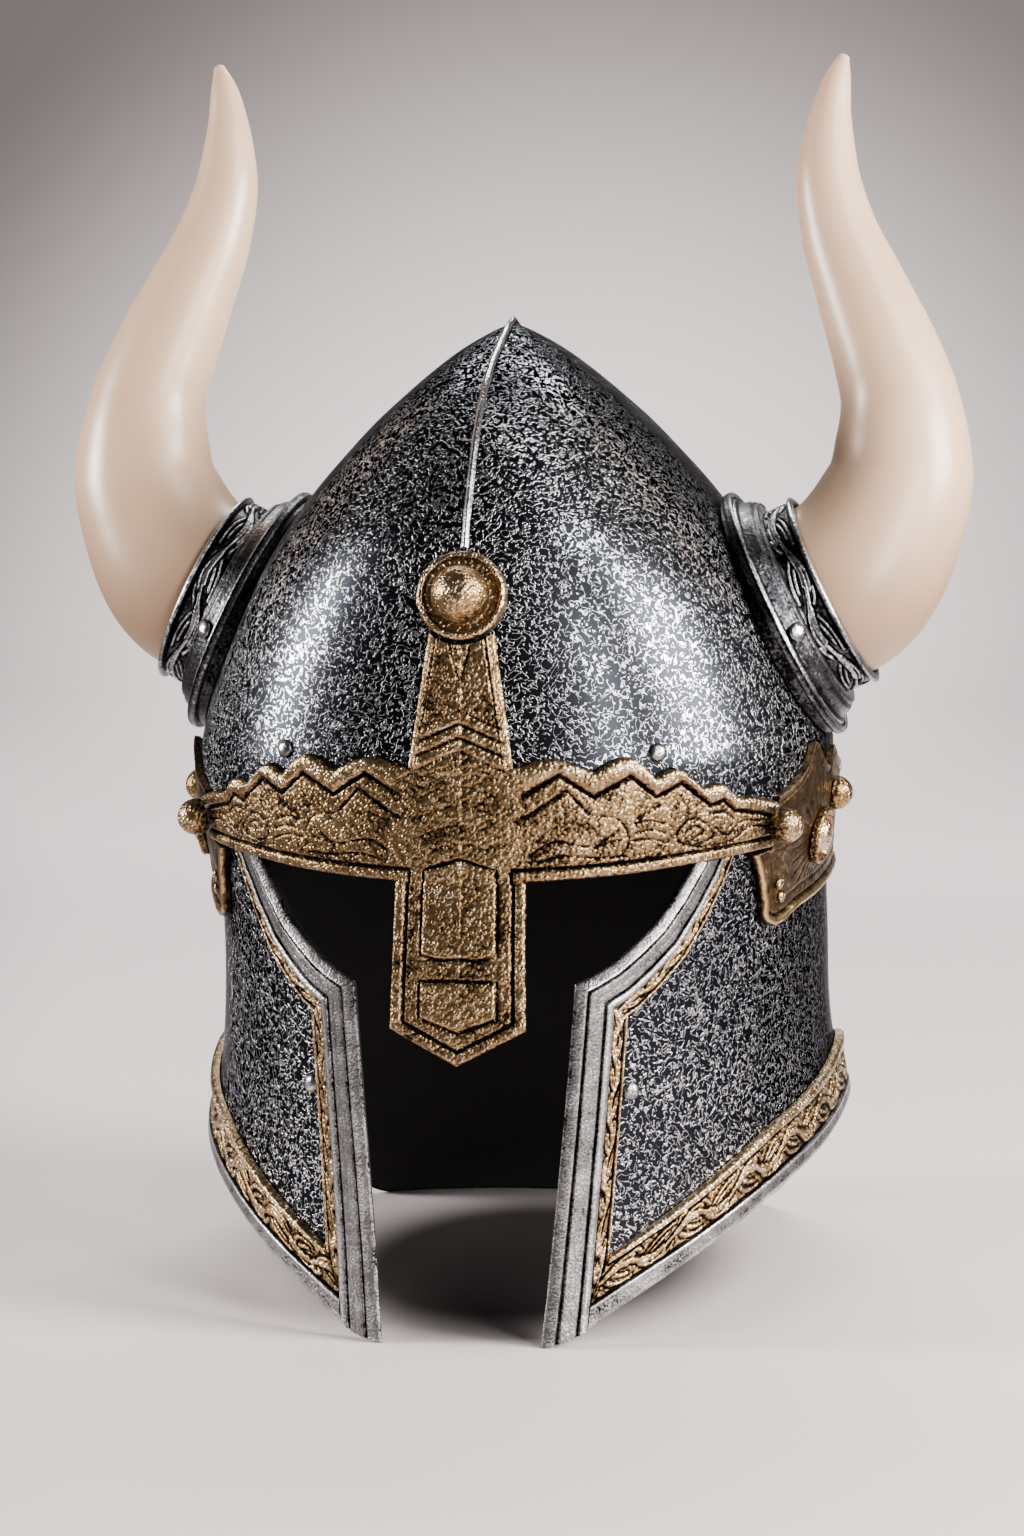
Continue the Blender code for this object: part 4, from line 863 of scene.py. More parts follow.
def band_detail(flat, foot, crown, mountain):
    """Relief of the brow band, in millimetres: rolled rim, mountains, strokes and lip."""
    across = flat[..., 1]
    share = (crown - across) / (crown - mountain)
    roll = np.where((share >= 0) & (share <= 1), np.sin(np.pi * np.clip(share, 0, 1) ** 0.85), 0.0)
    detail = 1.35 * roll - 1.6 * np.clip(1 - share / 0.16, 0, 1) ** 2
    for rows, half_width, depth in ((MOUNTAIN_ROWS, 0.60, 1.40), (INNER_MOUNTAIN_ROWS, 0.52, 1.10),
                                    (SECOND_MOUNTAIN_ROWS, 0.45, 0.8)):
        line = to_flat(rows[:, 0], band_height(rows[:, 1])) / MM
        detail = detail + groove(line_distance(flat, line), half_width, depth)
    strokes = np.zeros(flat.shape[:2])
    for rows in BAND_STROKES:
        line = rounded(to_flat(rows[:, 0], band_height(rows[:, 1])) / MM, 14)
        near = line_distance(flat, line)
        strokes = np.minimum(strokes, groove(near, 0.42, 0.75)) + 0.10 * np.exp(-((near - 1.0) / 0.6) ** 2)
    fade = np.clip(share - 1, 0, 0.2) / 0.2
    return detail + strokes * fade


def nasal_detail(across, z):
    """Relief of the nasal bar and its arm, in millimetres, from their own drawing.

    A rule of the drawing is a distance to one of its lines: the long ridge, the
    two panels, the arcs over the brow, the three chevrons and the long V.
    """
    side = np.abs(across)
    flat = np.stack([side, z], -1)
    detail = bead(side, 0.50, 0.30) * step_up(z, 99, 101)
    for panel in (UPPER_PANEL, LOWER_PANEL):
        detail = detail + groove(line_distance(flat, panel), 0.55, 1.15)
    within = side < PANEL_HALF_WIDTH
    raised = within & (z < PANEL_TOP - 0.30 * side) & (z > PANEL_FOOT)
    shield = within & (z < SHIELD_TOP) & (z > SHIELD_FOOT + 0.40 * side)
    detail = detail + 0.55 * (raised | shield)
    arcs = (side < 15) & (z > ARC_HEIGHTS[0]) & (z < ARC_HEIGHTS[1])
    fold = np.abs(((z + 0.022 * side ** 2) % ARC_PITCH) - ARC_PITCH / 2)
    detail = detail + arcs * groove(fold, 0.45, 0.35) * step_up(16 - side, 0, 5)
    roof = z + 0.45 * side
    chevrons = (roof > CHEVRON_HEIGHTS[0]) & (roof < CHEVRON_HEIGHTS[1])
    tooth = np.abs(((roof - CHEVRON_HEIGHTS[0]) % CHEVRON_PITCH) / CHEVRON_PITCH - 0.5) * 2
    detail = detail + chevrons * (0.75 * (1 - tooth ** 3) - 1.1 * tooth ** 6)
    return detail + groove(line_distance(flat, ARM_WEDGE), 0.42, 0.7)


def build_brow_nasal(fine=0.00052):
    """Brow band, nasal bar and arm in one casting, from rows of one masked grid.

    A row is a set of angles and heights: along the bar and arm its width follows
    them, and across the band it runs from foot to scalloped crown.
    """
    root = np.degrees(np.arcsin(NASAL_HALF_WIDTH / (FRONT_REACH + BAND_PROUD)))
    middle = np.linspace(0, root, 46)
    columns = int(np.radians(BAND_END_ANGLE - root) * UNROLL / fine)
    outer = np.linspace(root, BAND_END_ANGLE, columns)[1:]
    right = np.concatenate([middle, outer])
    angle = np.concatenate([-right[:0:-1], right])
    centre = np.abs(angle) <= root + 1e-9
    share = np.clip(np.abs(angle) / root, 0, 1)
    sign = np.sign(angle)
    rows, across, forward = [], [], []

    def bar(z, half_width, height):
        """One row of the bar or arm: its angles at the height that carries its width."""
        spread = np.degrees(np.arcsin(half_width / section_radius(0.0, z)))
        rows.append((np.where(centre, sign * share * spread, angle), height))
        across.append(np.where(centre, sign * share * half_width, to_flat(angle, 0)[..., 0]))

    levels = np.linspace(0, 1, 112)[:-1]
    for level in levels:
        z = NASAL_POINT + (BAND_BOTTOM - NASAL_POINT) * level
        rise = (NASAL_SHOULDER - NASAL_POINT) * (1 - level)
        bar(z, NASAL_HALF_WIDTH, z + rise * share)
        forward.append(np.full(len(angle), NASAL_FORWARD * (1 - level)))
    foot, crown = band_foot(angle), band_crown(angle)
    steps = np.linspace(0, 1, 78)
    for step in steps:
        rows.append((angle, foot + (crown - foot) * step))
        across.append(np.where(centre, sign * share * NASAL_HALF_WIDTH, to_flat(angle, 0)[..., 0]))
        forward.append(np.zeros(len(angle)))
    start = float(band_crown(0.0))
    ring = BOSS_RADIUS + 2 * SEAT
    climb = -skin_normal(np.array(0.0), np.array(BOSS_HEIGHT))[1]
    arm_levels = np.linspace(0, 1, 84)[1:]
    reach = np.sqrt(ring ** 2 - (share * ARM_TOP_HALF_WIDTH) ** 2) * climb
    for level in arm_levels:
        width = ARM_ROOT_HALF_WIDTH + (ARM_TOP_HALF_WIDTH - ARM_ROOT_HALF_WIDTH) * level
        z = start + (BOSS_HEIGHT - ring - start) * level
        bar(z, width, start + (BOSS_HEIGHT - reach - start) * level)
        forward.append(np.zeros(len(angle)))
    turned = np.array([r[0] for r in rows])
    z = np.array([np.broadcast_to(r[1], angle.shape) for r in rows])
    across, forward = np.array(across), np.array(forward)
    low, high = len(levels), len(levels) + len(steps)

    side = np.abs(across) / MM
    flat = np.stack([side, z / MM], -1)
    crown_z, foot_z = (np.broadcast_to(line, z.shape) / MM for line in (crown, foot))
    mountain = band_height(lookup(MOUNTAIN_ROWS, np.abs(angle))) / MM
    in_band = np.zeros(len(rows), bool)
    in_band[low:high] = True
    bar_share = step_up(25 - side, 0, 8) * in_band[:, None] + ~in_band[:, None] * 1.0
    band = band_detail(flat, foot_z, crown_z, np.broadcast_to(mountain, z.shape))
    nasal = nasal_detail(across / MM, z / MM)
    detail = band * (1 - bar_share) * in_band[:, None] + nasal * bar_share

    inward, upward = NASAL_HALF_WIDTH / MM - side, z / MM - foot_z
    near = np.where(inward > 0, np.where(upward > 0, np.maximum(inward, upward), inward), upward)
    point = np.array([(NASAL_HALF_WIDTH, NASAL_SHOULDER), (0, NASAL_POINT)]) / MM
    near = np.minimum(near, line_distance(flat, point))
    lip = 0.55 * bead(near - 1.9, 1.9, 1.0) - 0.75 * np.clip(1 - near / 0.9, 0, 1) ** 2
    detail = detail + np.where(near < 3.8, lip, 0.0) + groove(near - 4.3, 0.50, 1.25)

    arm = np.arange(len(rows)) >= high
    widest = np.abs(across).max(1, keepdims=True, where=centre[None], initial=0)
    half = np.where(centre, np.maximum(widest, 1e-6), 1)
    inset = (half - np.abs(across)) / MM
    bevel = step_up(inset, 0.0, 2.8)
    field = np.where(in_band[:, None], BAND_FIELD + (NASAL_FIELD - BAND_FIELD) * bar_share, NASAL_FIELD)
    field = np.where(arm[:, None], ARM_EDGE + (NASAL_PROUD - ARM_EDGE) * bevel, field)
    detail = np.where(arm[:, None], detail * bevel + groove(inset - 3.2, 0.4, 0.4), detail)
    uneven = 0.10 * ripple(across / MM, z / MM, 2.6, 5) + 0.14 * ripple(across / MM, z / MM, 6.0, 9)
    height = field + forward + (detail + uneven) * MM
    edge_wear = np.where(arm[:, None], step_up(2.4 - inset, 0, 1.6), 0)
    relief = (0.50 + 0.42 * np.minimum(detail, 0) + 0.16 * np.maximum(detail, 0) + 0.14 * edge_wear
              + 0.6 * uneven)
    number = np.arange(len(rows))[:, None]
    under = np.where(number < low, field + forward - NASAL_THICKNESS, SEAT)
    under = np.where(number == low, np.minimum(under, SEAT), under)

    mask = np.ones((len(rows) - 1, len(angle) - 1), bool)
    inside = centre[:-1] & centre[1:]
    mask[:low], mask[high - 1:] = inside, inside
    top = on_shell(turned, z, height)
    base = on_shell(turned, z, under)
    quads = grid_quads(*z.shape)[mask]
    edges = np.stack([quads, np.roll(quads, -1, axis=1)], -1).reshape(-1, 2)
    _, first, count = np.unique(np.sort(edges, axis=1), axis=0, return_index=True, return_counts=True)
    border = edges[first[count == 1]]
    lift = z.size
    walls = np.stack([border[:, 1], border[:, 0], border[:, 0] + lift, border[:, 1] + lift], 1)
    back = grid_quads(*z.shape)[:low, :][mask[:low]][:, ::-1] + lift
    quads = np.vstack([quads, walls, back])
    points = np.vstack([top.reshape(-1, 3), base.reshape(-1, 3)])
    relief = np.concatenate([relief.ravel(), np.full(lift, 0.25)])
    add_piece("brow_band_and_nasal", points, quads, relief, ["antiqued cast brass"],
              ["brow_nasal"], sharp=55)


def build_nasal_boss(around=96):
    """Ringed disc with a ball, turned about the shell's normal, with cast pits."""
    point, normal = shell_seat(0.0, BOSS_HEIGHT, SEAT)
    disc = corners(BOSS_DISC) * (BOSS_RADIUS, BOSS_PROUD)
    rows = np.vstack([disc, ball_profile(BOSS_BALL_RADIUS, 0.25, 26) + (0, BOSS_BALL_SEAT)])
    dip = np.interp(np.arange(len(rows)), [0, 12, 19, 24, 30, len(rows) - 1],
                    [0.3, 0.8, 0.85, 0.08, 0.45, 0.75])
    points, relief = turned_profile(point, normal, rows, around, dip)
    swirl = ripple(points[..., 0], points[..., 2], 0.004, 12)
    points = points + normal * (0.00016 * swirl * (rows[:, 0] > 1e-5)[:, None])[..., None]
    add_piece("nasal_boss_disc", points, grid_quads(len(rows), around, True), relief + 0.12 * swirl,
              ["burnished brass"], ["nasal_boss"])


def build_studs(around=40):
    """Balls, ringed bosses and rivets, each a profile turned about the shell's normal."""
    on_plate = PLATE_PROUD + GAP
    rivet = rivet_profile(RIVET_RADIUS, RIVET_RISE)
    small_rivet = rivet_profile(TEMPLE_RIVET_RADIUS, TEMPLE_RIVET_RISE)
    ring = corners(STUD_RING) * (TEMPLE_BOSS_RADIUS, TEMPLE_BOSS_PROUD)
    cast, brass, silver = (("antiqued cast brass", "gold"), ("burnished brass", "gold"),
                           ("burnished silver", "silver"))
    upper, lower = ((angle, float(band_height(share)))
                    for angle, share in (TEMPLE_RIVET_UPPER, TEMPLE_RIVET_LOWER))
    # name, angle and height, height of the seat, profile, finish and slot
    seats = [
        ("brow_stud", BROW_STUD, BAND_PROUD + GAP, ball_profile(BROW_STUD_RADIUS, 0.45), cast),
        ("temple_stud", TEMPLE_STUD, on_plate, ball_profile(TEMPLE_STUD_RADIUS, 0.10), brass),
        ("temple_boss", TEMPLE_BOSS, PLATE_PROUD + SEAT, ring, brass),
        ("temple_rivet_upper", upper, on_plate, small_rivet, brass),
        ("temple_rivet_lower", lower, on_plate, small_rivet, brass),
        ("brow_rivet", BROW_RIVET, GAP, rivet, silver),
    ]
    edge = opening_offset(FRAME_WIDTH + INLAY_WIDTH + RIVET_RADIUS + GAP)
    angle = float(np.degrees(np.interp(CHEEK_RIVET_HEIGHT, edge[:5, 1], edge[:5, 0]) / UNROLL))
    seats.append(("cheek_rivet", (angle, CHEEK_RIVET_HEIGHT), GAP, rivet, silver))
    for name, (angle, z), off, profile, (finish, slot) in seats:
        point, normal = shell_seat(angle, z, off)
        along = np.linspace(0, 1, len(profile))
        points, relief = turned_profile(point, normal, profile, around, 0.25 + 0.6 * along)
        add_pair(name + "_head", points, grid_quads(len(profile), around, True), relief, [finish],
                 name)


def plate_outline():
    """Temple plate's edge in the flat layout, in millimetres: back, foot, front, top."""
    foot_angle = np.linspace(PLATE_END_ANGLE, PLATE_FOOT_ROWS[0, 0], 60)
    foot = to_flat(foot_angle, band_height(curve(PLATE_FOOT_ROWS, foot_angle)))
    share = np.linspace(*PLATE_FRONT_ROWS[[0, -1], 0], 40)
    front = to_flat(curve(PLATE_FRONT_ROWS, share), band_height(share))
    top_angle = np.linspace(PLATE_TOP_ROWS[0, 0], PLATE_END_ANGLE, 60)
    top = to_flat(top_angle, band_height(curve(PLATE_TOP_ROWS, top_angle)))
    return np.vstack([foot, front]) / MM, top / MM


def build_temple_plate(columns=150, rows=96):
    """Side plate: each column runs from the lobe's foot to the pointed top.

    Its border is a rolled lip about the distance to the plate's own edge.
    """
    share = np.linspace(0, 1, columns)
    first, last = PLATE_FRONT_ROWS[0, 0], PLATE_FRONT_ROWS[-1, 0]
    foot_angle = PLATE_FOOT_ROWS[0, 0] + (PLATE_END_ANGLE - PLATE_FOOT_ROWS[0, 0]) * share
    foot = curve(PLATE_FOOT_ROWS, foot_angle)
    angles, heights = [], []
    for level in np.linspace(first, last, rows // 2):
        front = float(curve(PLATE_FRONT_ROWS, level))
        raised = (level - first) / (last - first)
        angles.append(front + (PLATE_END_ANGLE - front) * share)
        heights.append(band_height(foot + (last - foot) * raised))
    upper = BAND_END_ANGLE + 0.7
    angle = upper + (PLATE_END_ANGLE - upper) * share
    crown = band_height(curve(PLATE_TOP_ROWS, angle))
    lower = heights[-1]
    for level in np.linspace(0.06, 1, rows // 2):
        angles.append(angle)
        heights.append(lower + (crown - lower) * level)
    angle, z = np.array(angles), np.array(heights)
    flat = to_flat(angle, z) / MM
    lower_edge, top_edge = plate_outline()
    near, near_top = line_distance(flat, lower_edge), line_distance(flat, top_edge)
    detail = np.where(near < 3.4, bead(near - 1.7, 1.7, 1.15), 0.0) - np.clip(1 - near / 0.8, 0, 1) ** 2
    detail = detail + groove(near - 3.9, 0.45, 0.9) + groove(near - 8.2, 0.5, 0.35)
    detail = detail + 0.45 * np.exp(-(near_top / 0.9) ** 2) + groove(near_top - 2.6, 0.6, 0.45)
    boss = to_flat(*TEMPLE_BOSS) / MM
    away = np.linalg.norm(flat - boss, axis=-1)
    # rays round the boss, clear of its ring and of the lips
    ray = np.arctan2(flat[..., 1] - boss[1], flat[..., 0] - boss[0]) / (2 * np.pi) * PLATE_RAYS % 1
    rays = groove(np.abs(ray - 0.5) * away / 4.8, 0.33, 0.45)
    rays = rays * step_up(away, 11.5, 13) * step_up(near, 4.5, 6)
    rays = rays * step_up(near_top, 3.0, 5.0) * (away < 24)
    detail = detail + rays + 0.16 * ripple(flat[..., 0], flat[..., 1], 5.0, 21)
    height = PLATE_PROUD + detail * MM
    points, relief = laid(angle, z, height, 0.5 + 0.42 * detail)
    add_pair("temple_plate_sheet", points, grid_quads(*points.shape[:2]), relief, ["patinated bronze"],
             "temple_plate", sharp=55)


def build_nape_band(columns=240, rows=40):
    """Plain band round the back with a raised edge above and below.

    Its height is a half-round ridge about the distance to either edge, a groove
    beside it, and a gentle unevenness.
    """
    start = PLATE_END_ANGLE + np.degrees(GAP / UNROLL)
    share = np.linspace(0, 1, rows)[:, None]
    angle = np.broadcast_to(np.linspace(start, 360 - start, columns), (rows, columns))
    z = np.broadcast_to(NAPE_BOTTOM + (NAPE_TOP - NAPE_BOTTOM) * share, angle.shape)
    flat = to_flat(angle, z) / MM
    edge = np.minimum(share, 1 - share) * (NAPE_TOP - NAPE_BOTTOM) / MM
    detail = np.where(edge < 4.0, bead(edge - 2.0, 2.0, 0.9), 0.0) + groove(edge - 4.5, 0.45, 0.8)
    detail = detail + 0.12 * ripple(flat[..., 0], flat[..., 1], 7.0, 33)
    height = NAPE_PROUD + detail * MM
    points, relief = laid(angle, z, height, 0.5 + 0.42 * detail)
    add_piece("nape_band_sheet", points, grid_quads(*points.shape[:2]), relief, ["antiqued cast brass"],
              ["nape_band"], sharp=55)


def build_face_frame(stations=(190, 110), rows=34):
    """Silver moulding: bevel, double groove, flat and bead, carried along the opening.

    Its height is a profile of the distance from the opening's edge.
    """
    rim = rim_offset(0.0)
    share = np.linspace(0, 1, rows)
    lines = np.array([opening_strip_line(FRAME_WIDTH * s, rim, stations) for s in share])
    angle, z = to_angle(lines)
    across = share * FRAME_WIDTH / MM
    profile = lookup(FRAME_PROFILE, across)
    detail = (groove(across - 4.3, 0.35, 0.5) + groove(across - 10.4, 0.3, 0.45)
              + groove(across - 7.6, 0.22, 0.10))
    flat = lines / MM
    uneven = 0.05 * ripple(flat[..., 0], flat[..., 1], 4.0, 41)
    height = np.maximum(profile[:, None] + detail[:, None] + uneven, 0.8) * MM
    wear = lookup(FRAME_WEAR, across)
    points, relief = laid(angle, z, height, np.broadcast_to(wear[:, None], angle.shape))
    points[:, :2, 2] = np.pad(z, 1, mode="edge")[:, :1]
    add_pair("face_moulding", points, grid_quads(*points.shape[:2])[..., ::-1], relief,
             ["wire-brushed silver"], "face_frame", sharp=50)


def build_face_inlay(stations=(230, 130), rows=22):
    """Brass strip beside the moulding: a narrow leaf scroll with a wire along it."""
    lines = []
    share = np.linspace(0, 1, rows)
    for s in share:
        foot = hem_offset(s) + (0, 1.5 * GAP)
        lines.append(opening_strip_line(FRAME_WIDTH + GAP + (INLAY_WIDTH - GAP) * s, foot, stations))
    lines = np.array(lines)
    angle, z = to_angle(lines)
    along = chord(lines[rows // 2]) / MM
    across = share * INLAY_WIDTH / MM
    place = np.clip(across / INLAY_FIELD_MM, 0, 1)[:, None] * np.ones_like(z)
    strands, outline = scroll_relief(np.broadcast_to(along, angle.shape), place, INLAY_SCROLL_MM, 6.5)
    field = (across < INLAY_FIELD_MM)[:, None]
    wire = bead(across - 5.0, 0.60, 1.0)[:, None]
    edge = groove(across - INLAY_FIELD_MM, 0.28, 1.0)[:, None] + groove(across, 0.4, 1.0)[:, None]
    height = (1.15 + field * (0.55 * strands - 0.45 * outline) + 0.9 * wire + 0.3 * edge) * MM
    wear = 0.50 + field * (0.22 * strands - 0.55 * outline) + 0.35 * wire + 0.5 * edge
    points, relief = laid(angle, z, height, wear)
    add_pair("face_scroll_strip", points, grid_quads(*points.shape[:2])[..., ::-1], relief,
             ["antiqued cast brass"], "face_inlay", sharp=60)


def build_hem(stations=430):
    """Silver lip and brass leaf-scroll band along the bottom rim.

    Each is laid between two lines at a distance above the rim. The lip's height
    is a profile of that distance, and the band's is the leaf scroll and a bead.
    """
    side = dense(opening_offset(FRAME_WIDTH + GAP))
    share = np.linspace(0, 1, 14)
    lines = []
    for s in share:
        line = rim_offset(LIP_WIDTH * s)
        lines.append(round_the_back(line, crossing(side, line)[1], stations))
    lines = np.array(lines)
    angle, z = to_angle(lines)
    across = share * LIP_WIDTH / MM
    profile = lookup(LIP_PROFILE, across)
    uneven = 0.07 * ripple(lines[..., 0] / MM, lines[..., 1] / MM, 6.0, 51)
    wear = np.broadcast_to(lookup(LIP_WEAR, across)[:, None], angle.shape)
    points, relief = laid(angle, z, (profile[:, None] + uneven) * MM, wear)
    points[:2, :, 2] = np.pad(z, 1, mode="edge")[:1]
    add_piece("hem_edge", points, grid_quads(*points.shape[:2]), relief, ["wire-brushed silver"],
              ["hem_lip"], sharp=50)

    rows = 38
    share = np.linspace(0, 1, rows)
    lines = []
    for s in share:
        line = hem_offset(s)
        distance = FRAME_WIDTH + GAP + (INLAY_WIDTH - GAP) * s
        lines.append(round_the_back(line, crossing(dense(opening_offset(distance)), line)[1], 2 * stations))
    lines = np.array(lines)
    angle, z = to_angle(lines)
    along = chord(lines[rows // 2]) / MM
    # the scroll takes the first part of the width, and a plain lip the rest
    place = np.clip(share / HEM_FIELD, 0, 1)[:, None] * np.ones_like(z)
    strands, outline = scroll_relief(np.broadcast_to(along, angle.shape), place, HEM_SCROLL_MM)
    in_field = (share < HEM_FIELD)[:, None]
    lip = step_up(share, HEM_FIELD + 0.03, HEM_FIELD + 0.10) * (1 - 0.5 * step_up(share, 0.94, 1.0))
    lip = lip[:, None]
    line = groove((share - HEM_FIELD - 0.01) * 15, 0.4, 0.5)[:, None]
    foot = groove(share * 15, 0.5, 0.5)[:, None]
    height = (1.9 + (0.6 * strands - 0.5 * outline) * in_field + 1.85 * lip + line + foot) * MM
    wear = np.where(in_field, 0.48 + 0.24 * strands - 0.58 * outline, 0.55 + 0.25 * lip)
    wear = wear + 1.1 * (line + foot)
    points, relief = laid(angle, z, height, wear)
    add_piece("hem_scroll_band", points, grid_quads(*points.shape[:2]), relief, ["antiqued cast brass"],
              ["hem_band"], sharp=60)


def collar_frame():
    """Seat of the horn collar on the shell and the direction it points."""
    tilt = np.radians(COLLAR_TILT)
    seat = skin(np.array(COLLAR_ANGLE), np.array(COLLAR_HEIGHT))
    return seat, np.array([np.cos(tilt), 0.0, np.sin(tilt)])


def seat_on_shell(centre, axis, circle, radius):
    """Height along the axis at which points of a circle meet the shell, by halving."""
    low, high = np.full(len(circle), -0.040), np.full(len(circle), 0.020)
    for _ in range(40):
        middle = (low + high) / 2
        point = centre + radius * circle + middle[:, None] * axis
        z = np.clip(point[:, 2], 0, HELMET_HEIGHT * 0.999)
        angle = np.arctan2(point[:, 0], -(point[:, 1] + lean(z)))
        inside = np.hypot(point[:, 0], point[:, 1] + lean(z)) < section_radius(angle, z)
        low, high = np.where(inside, middle, low), np.where(inside, high, middle)
    return high


def build_collars(around=320):
    """Flange seated on the dome and the sleeve round the horn, with its leaf scroll.

    Both are profiles turned about the collar's axis. The flange's skirt follows
    the dome, and the leaf scroll raises the sleeve's wall.
    """
    centre, axis = collar_frame()
    bore = HORN_RADIUS + 2 * GAP
    rows = corners(FLANGE_PROFILE + [(bore / FLANGE_RADIUS, 1.0)])
    profile = rows * (FLANGE_RADIUS, FLANGE_RISE)
    wear = np.interp(rows[:, 1], [-0.42, -0.2, -0.04, 0.05, 0.12, 0.4, 0.9, 1.0],
                     [0.3, 0.55, 0.05, 0.9, 0.25, 0.5, 0.35, 0.8])
    points, relief = turned_profile(centre, axis, profile, around, wear)
    turn = np.linspace(0, 2 * np.pi, around, endpoint=False)
    circle = directions(axis, turn)
    under = []
    for radius in np.linspace(bore, FLANGE_RADIUS * 0.955, 5):
        seat = seat_on_shell(centre, axis, circle, radius) + SEAT
        under.append(centre + radius * circle + seat[:, None] * axis)
    points = np.concatenate([points, under, points[:1]])
    relief = np.concatenate([relief, np.full((5, around), 0.2), relief[:1]])
    add_pair("horn_flange_ring", points, grid_quads(len(points), around, True), relief,
             ["blackened cast pewter"], "horn_flange")

    foot = FLANGE_RISE + GAP
    moulding = corners([(0, 0.745), (0, 0.80), (0, 0.84), (0, 0.93), (0, 1.0)], 6)[1:, 1]
    height = np.concatenate([np.linspace(0, SLEEVE_FIELD, 30), moulding])
    base = lookup(SLEEVE_ROWS, height)
    along = np.broadcast_to(turn * SLEEVE_RADIUS / MM, (len(height), around))
    share = np.broadcast_to((height / SLEEVE_FIELD)[:, None], along.shape)
    period = 2 * np.pi * SLEEVE_RADIUS / MM / SLEEVE_LEAVES
    strands, outline = scroll_relief(along, np.clip(share, 0, 1), period, 10.0)
    strands, outline = strands * (share < 1), outline * (share < 1)
    radius = SLEEVE_RADIUS * base[:, None] + 0.0007 * strands - 0.0005 * outline
    points = centre + radius[..., None] * circle + (foot + SLEEVE_RISE * height)[:, None, None] * axis
    plain = np.interp(height, [0.76, 0.80, 0.86, 1.0], [0.1, 0.05, 0.6, 0.95])[:, None]
    wear = np.where(share < 1, 0.30 + 0.45 * strands - 0.4 * outline, plain)
    inner = [centre + bore * circle + (foot + SLEEVE_RISE * s) * axis for s in (1.0, 0.0)]
    points = np.concatenate([points, inner, points[:1]])
    relief = np.concatenate([wear, np.full((2, around), 0.3), wear[:1]])
    add_pair("horn_sleeve_ring", points, grid_quads(len(points), around, True), relief,
             ["blackened cast pewter"], "horn_sleeve", sharp=60)

    low, high = FLANGE_RIVET_SLOPE
    slope = np.array([FLANGE_RADIUS * (low[0] - high[0]), FLANGE_RISE * (high[1] - low[1])])
    out, up = unit(slope[::-1])
    middle = np.array([FLANGE_RADIUS * (low[0] + high[0]), FLANGE_RISE * (low[1] + high[1])]) / 2
    profile = rivet_profile(FLANGE_RIVET_RADIUS, RIVET_RISE, 0.2)
    for k in range(FLANGE_RIVETS):
        radial = directions(axis, np.radians(FLANGE_RIVET_TURN + 360 * k / FLANGE_RIVETS))
        normal = unit(out * radial + up * axis)
        point = centre + middle[0] * radial + middle[1] * axis + normal * 1.5 * GAP
        points, relief = turned_profile(point, normal, profile, 36, np.linspace(0.3, 0.9, len(profile)))
        node = f"flange_rivet_{k + 1}"
        add_pair(node + "_head", points, grid_quads(len(profile), 36, True), relief, ["burnished silver"],
                 node)


def build_horns(around=96, stations=220):
    """Horn: circles carried along a swelling S-curve, from the collar to a round tip.

    relief holds the share of the way from the collar to the tip, and more on the upper side;
    the horn's finish paints shade where it is less, on the underside.
    """
    centre, axis = collar_frame()
    mouth = FLANGE_RISE + SLEEVE_RISE
    root = centre + axis * 2 * GAP
    grip = centre + axis * mouth
    reach, rise, thickness = HORN_ROWS.T
    line = centre + reach[:, None] * (HORN_REACH, 0, 0) + rise[:, None] * (0, 0, HORN_RISE)
    line = line + (rise ** 1.5)[:, None] * (0.0, HORN_LEAN, 0.0)
    rows = np.vstack([np.append(grip - axis * mouth / 2, 1.0), np.append(grip, 1.0),
                      np.column_stack([line, thickness])])
    along = chord(rows[:, :3])
    path = smooth(along, rows, np.linspace(along[1], along[-1], stations))
    points, size = path[:, :3], path[:, 3] * (HORN_RADIUS - GAP)
    tangent = unit(np.gradient(points, axis=0))
    tangent[0] = axis
    across = unit(np.cross(tangent, (0.0, 1.0, 0.0)))
    beside = np.cross(across, tangent)
    end = np.linspace(0, np.pi / 2, 9)[1:, None]
    tip = points[-1] + tangent[-1] * (0.9 * size[-1] - GAP) * np.sin(end)
    centres = np.vstack([root, points, tip])
    sizes = np.concatenate([[HORN_RADIUS], size, size[-1] * np.cos(end[:, 0])])
    sizes[-1] = 0.0
    across, beside = (np.vstack([v[:1], v, np.repeat(v[-1:], len(tip), axis=0)]) for v in (across, beside))
    turn = np.linspace(0, 2 * np.pi, around, endpoint=False)
    circle = np.cos(turn)[None, :, None] * across[:, None] + np.sin(turn)[None, :, None] * beside[:, None]
    grid = centres[:, None] + sizes[:, None, None] * circle
    foot = np.broadcast_to(root, (1, around, 3))
    grid = np.concatenate([foot, grid])
    share = np.concatenate([[0, 0], np.linspace(0, 1, stations), np.ones(len(tip))])
    # more relief on the upper side, so the finish paints less shade there than on the underside
    upper = np.clip((1 + np.concatenate([circle[:1], circle])[..., 2]) / 1.2, 0, 1)
    add_pair("horn_cast", grid, grid_quads(len(grid), around, True), share[:, None] + 0.25 * upper,
             ["polished cast resin"], "horn")


def add_node(tree, kind, settings=None, **links):
    """Node of a kind with its settings; links names inputs by number or name.

    A link is a socket to join, or a value for the input. Names of inputs are
    written with underscores for spaces, and in_0 is the input numbered 0.
    """
    node = tree.nodes.new(kind)
    for key, value in (settings or {}).items():
        setattr(node, key, value)
    for key, value in links.items():
        socket = node.inputs[int(key[3:]) if key.startswith("in_") else key.replace("_", " ")]
        if isinstance(value, bpy.types.NodeSocket):
            tree.links.new(value, socket)
        else:
            socket.default_value = value
    return node


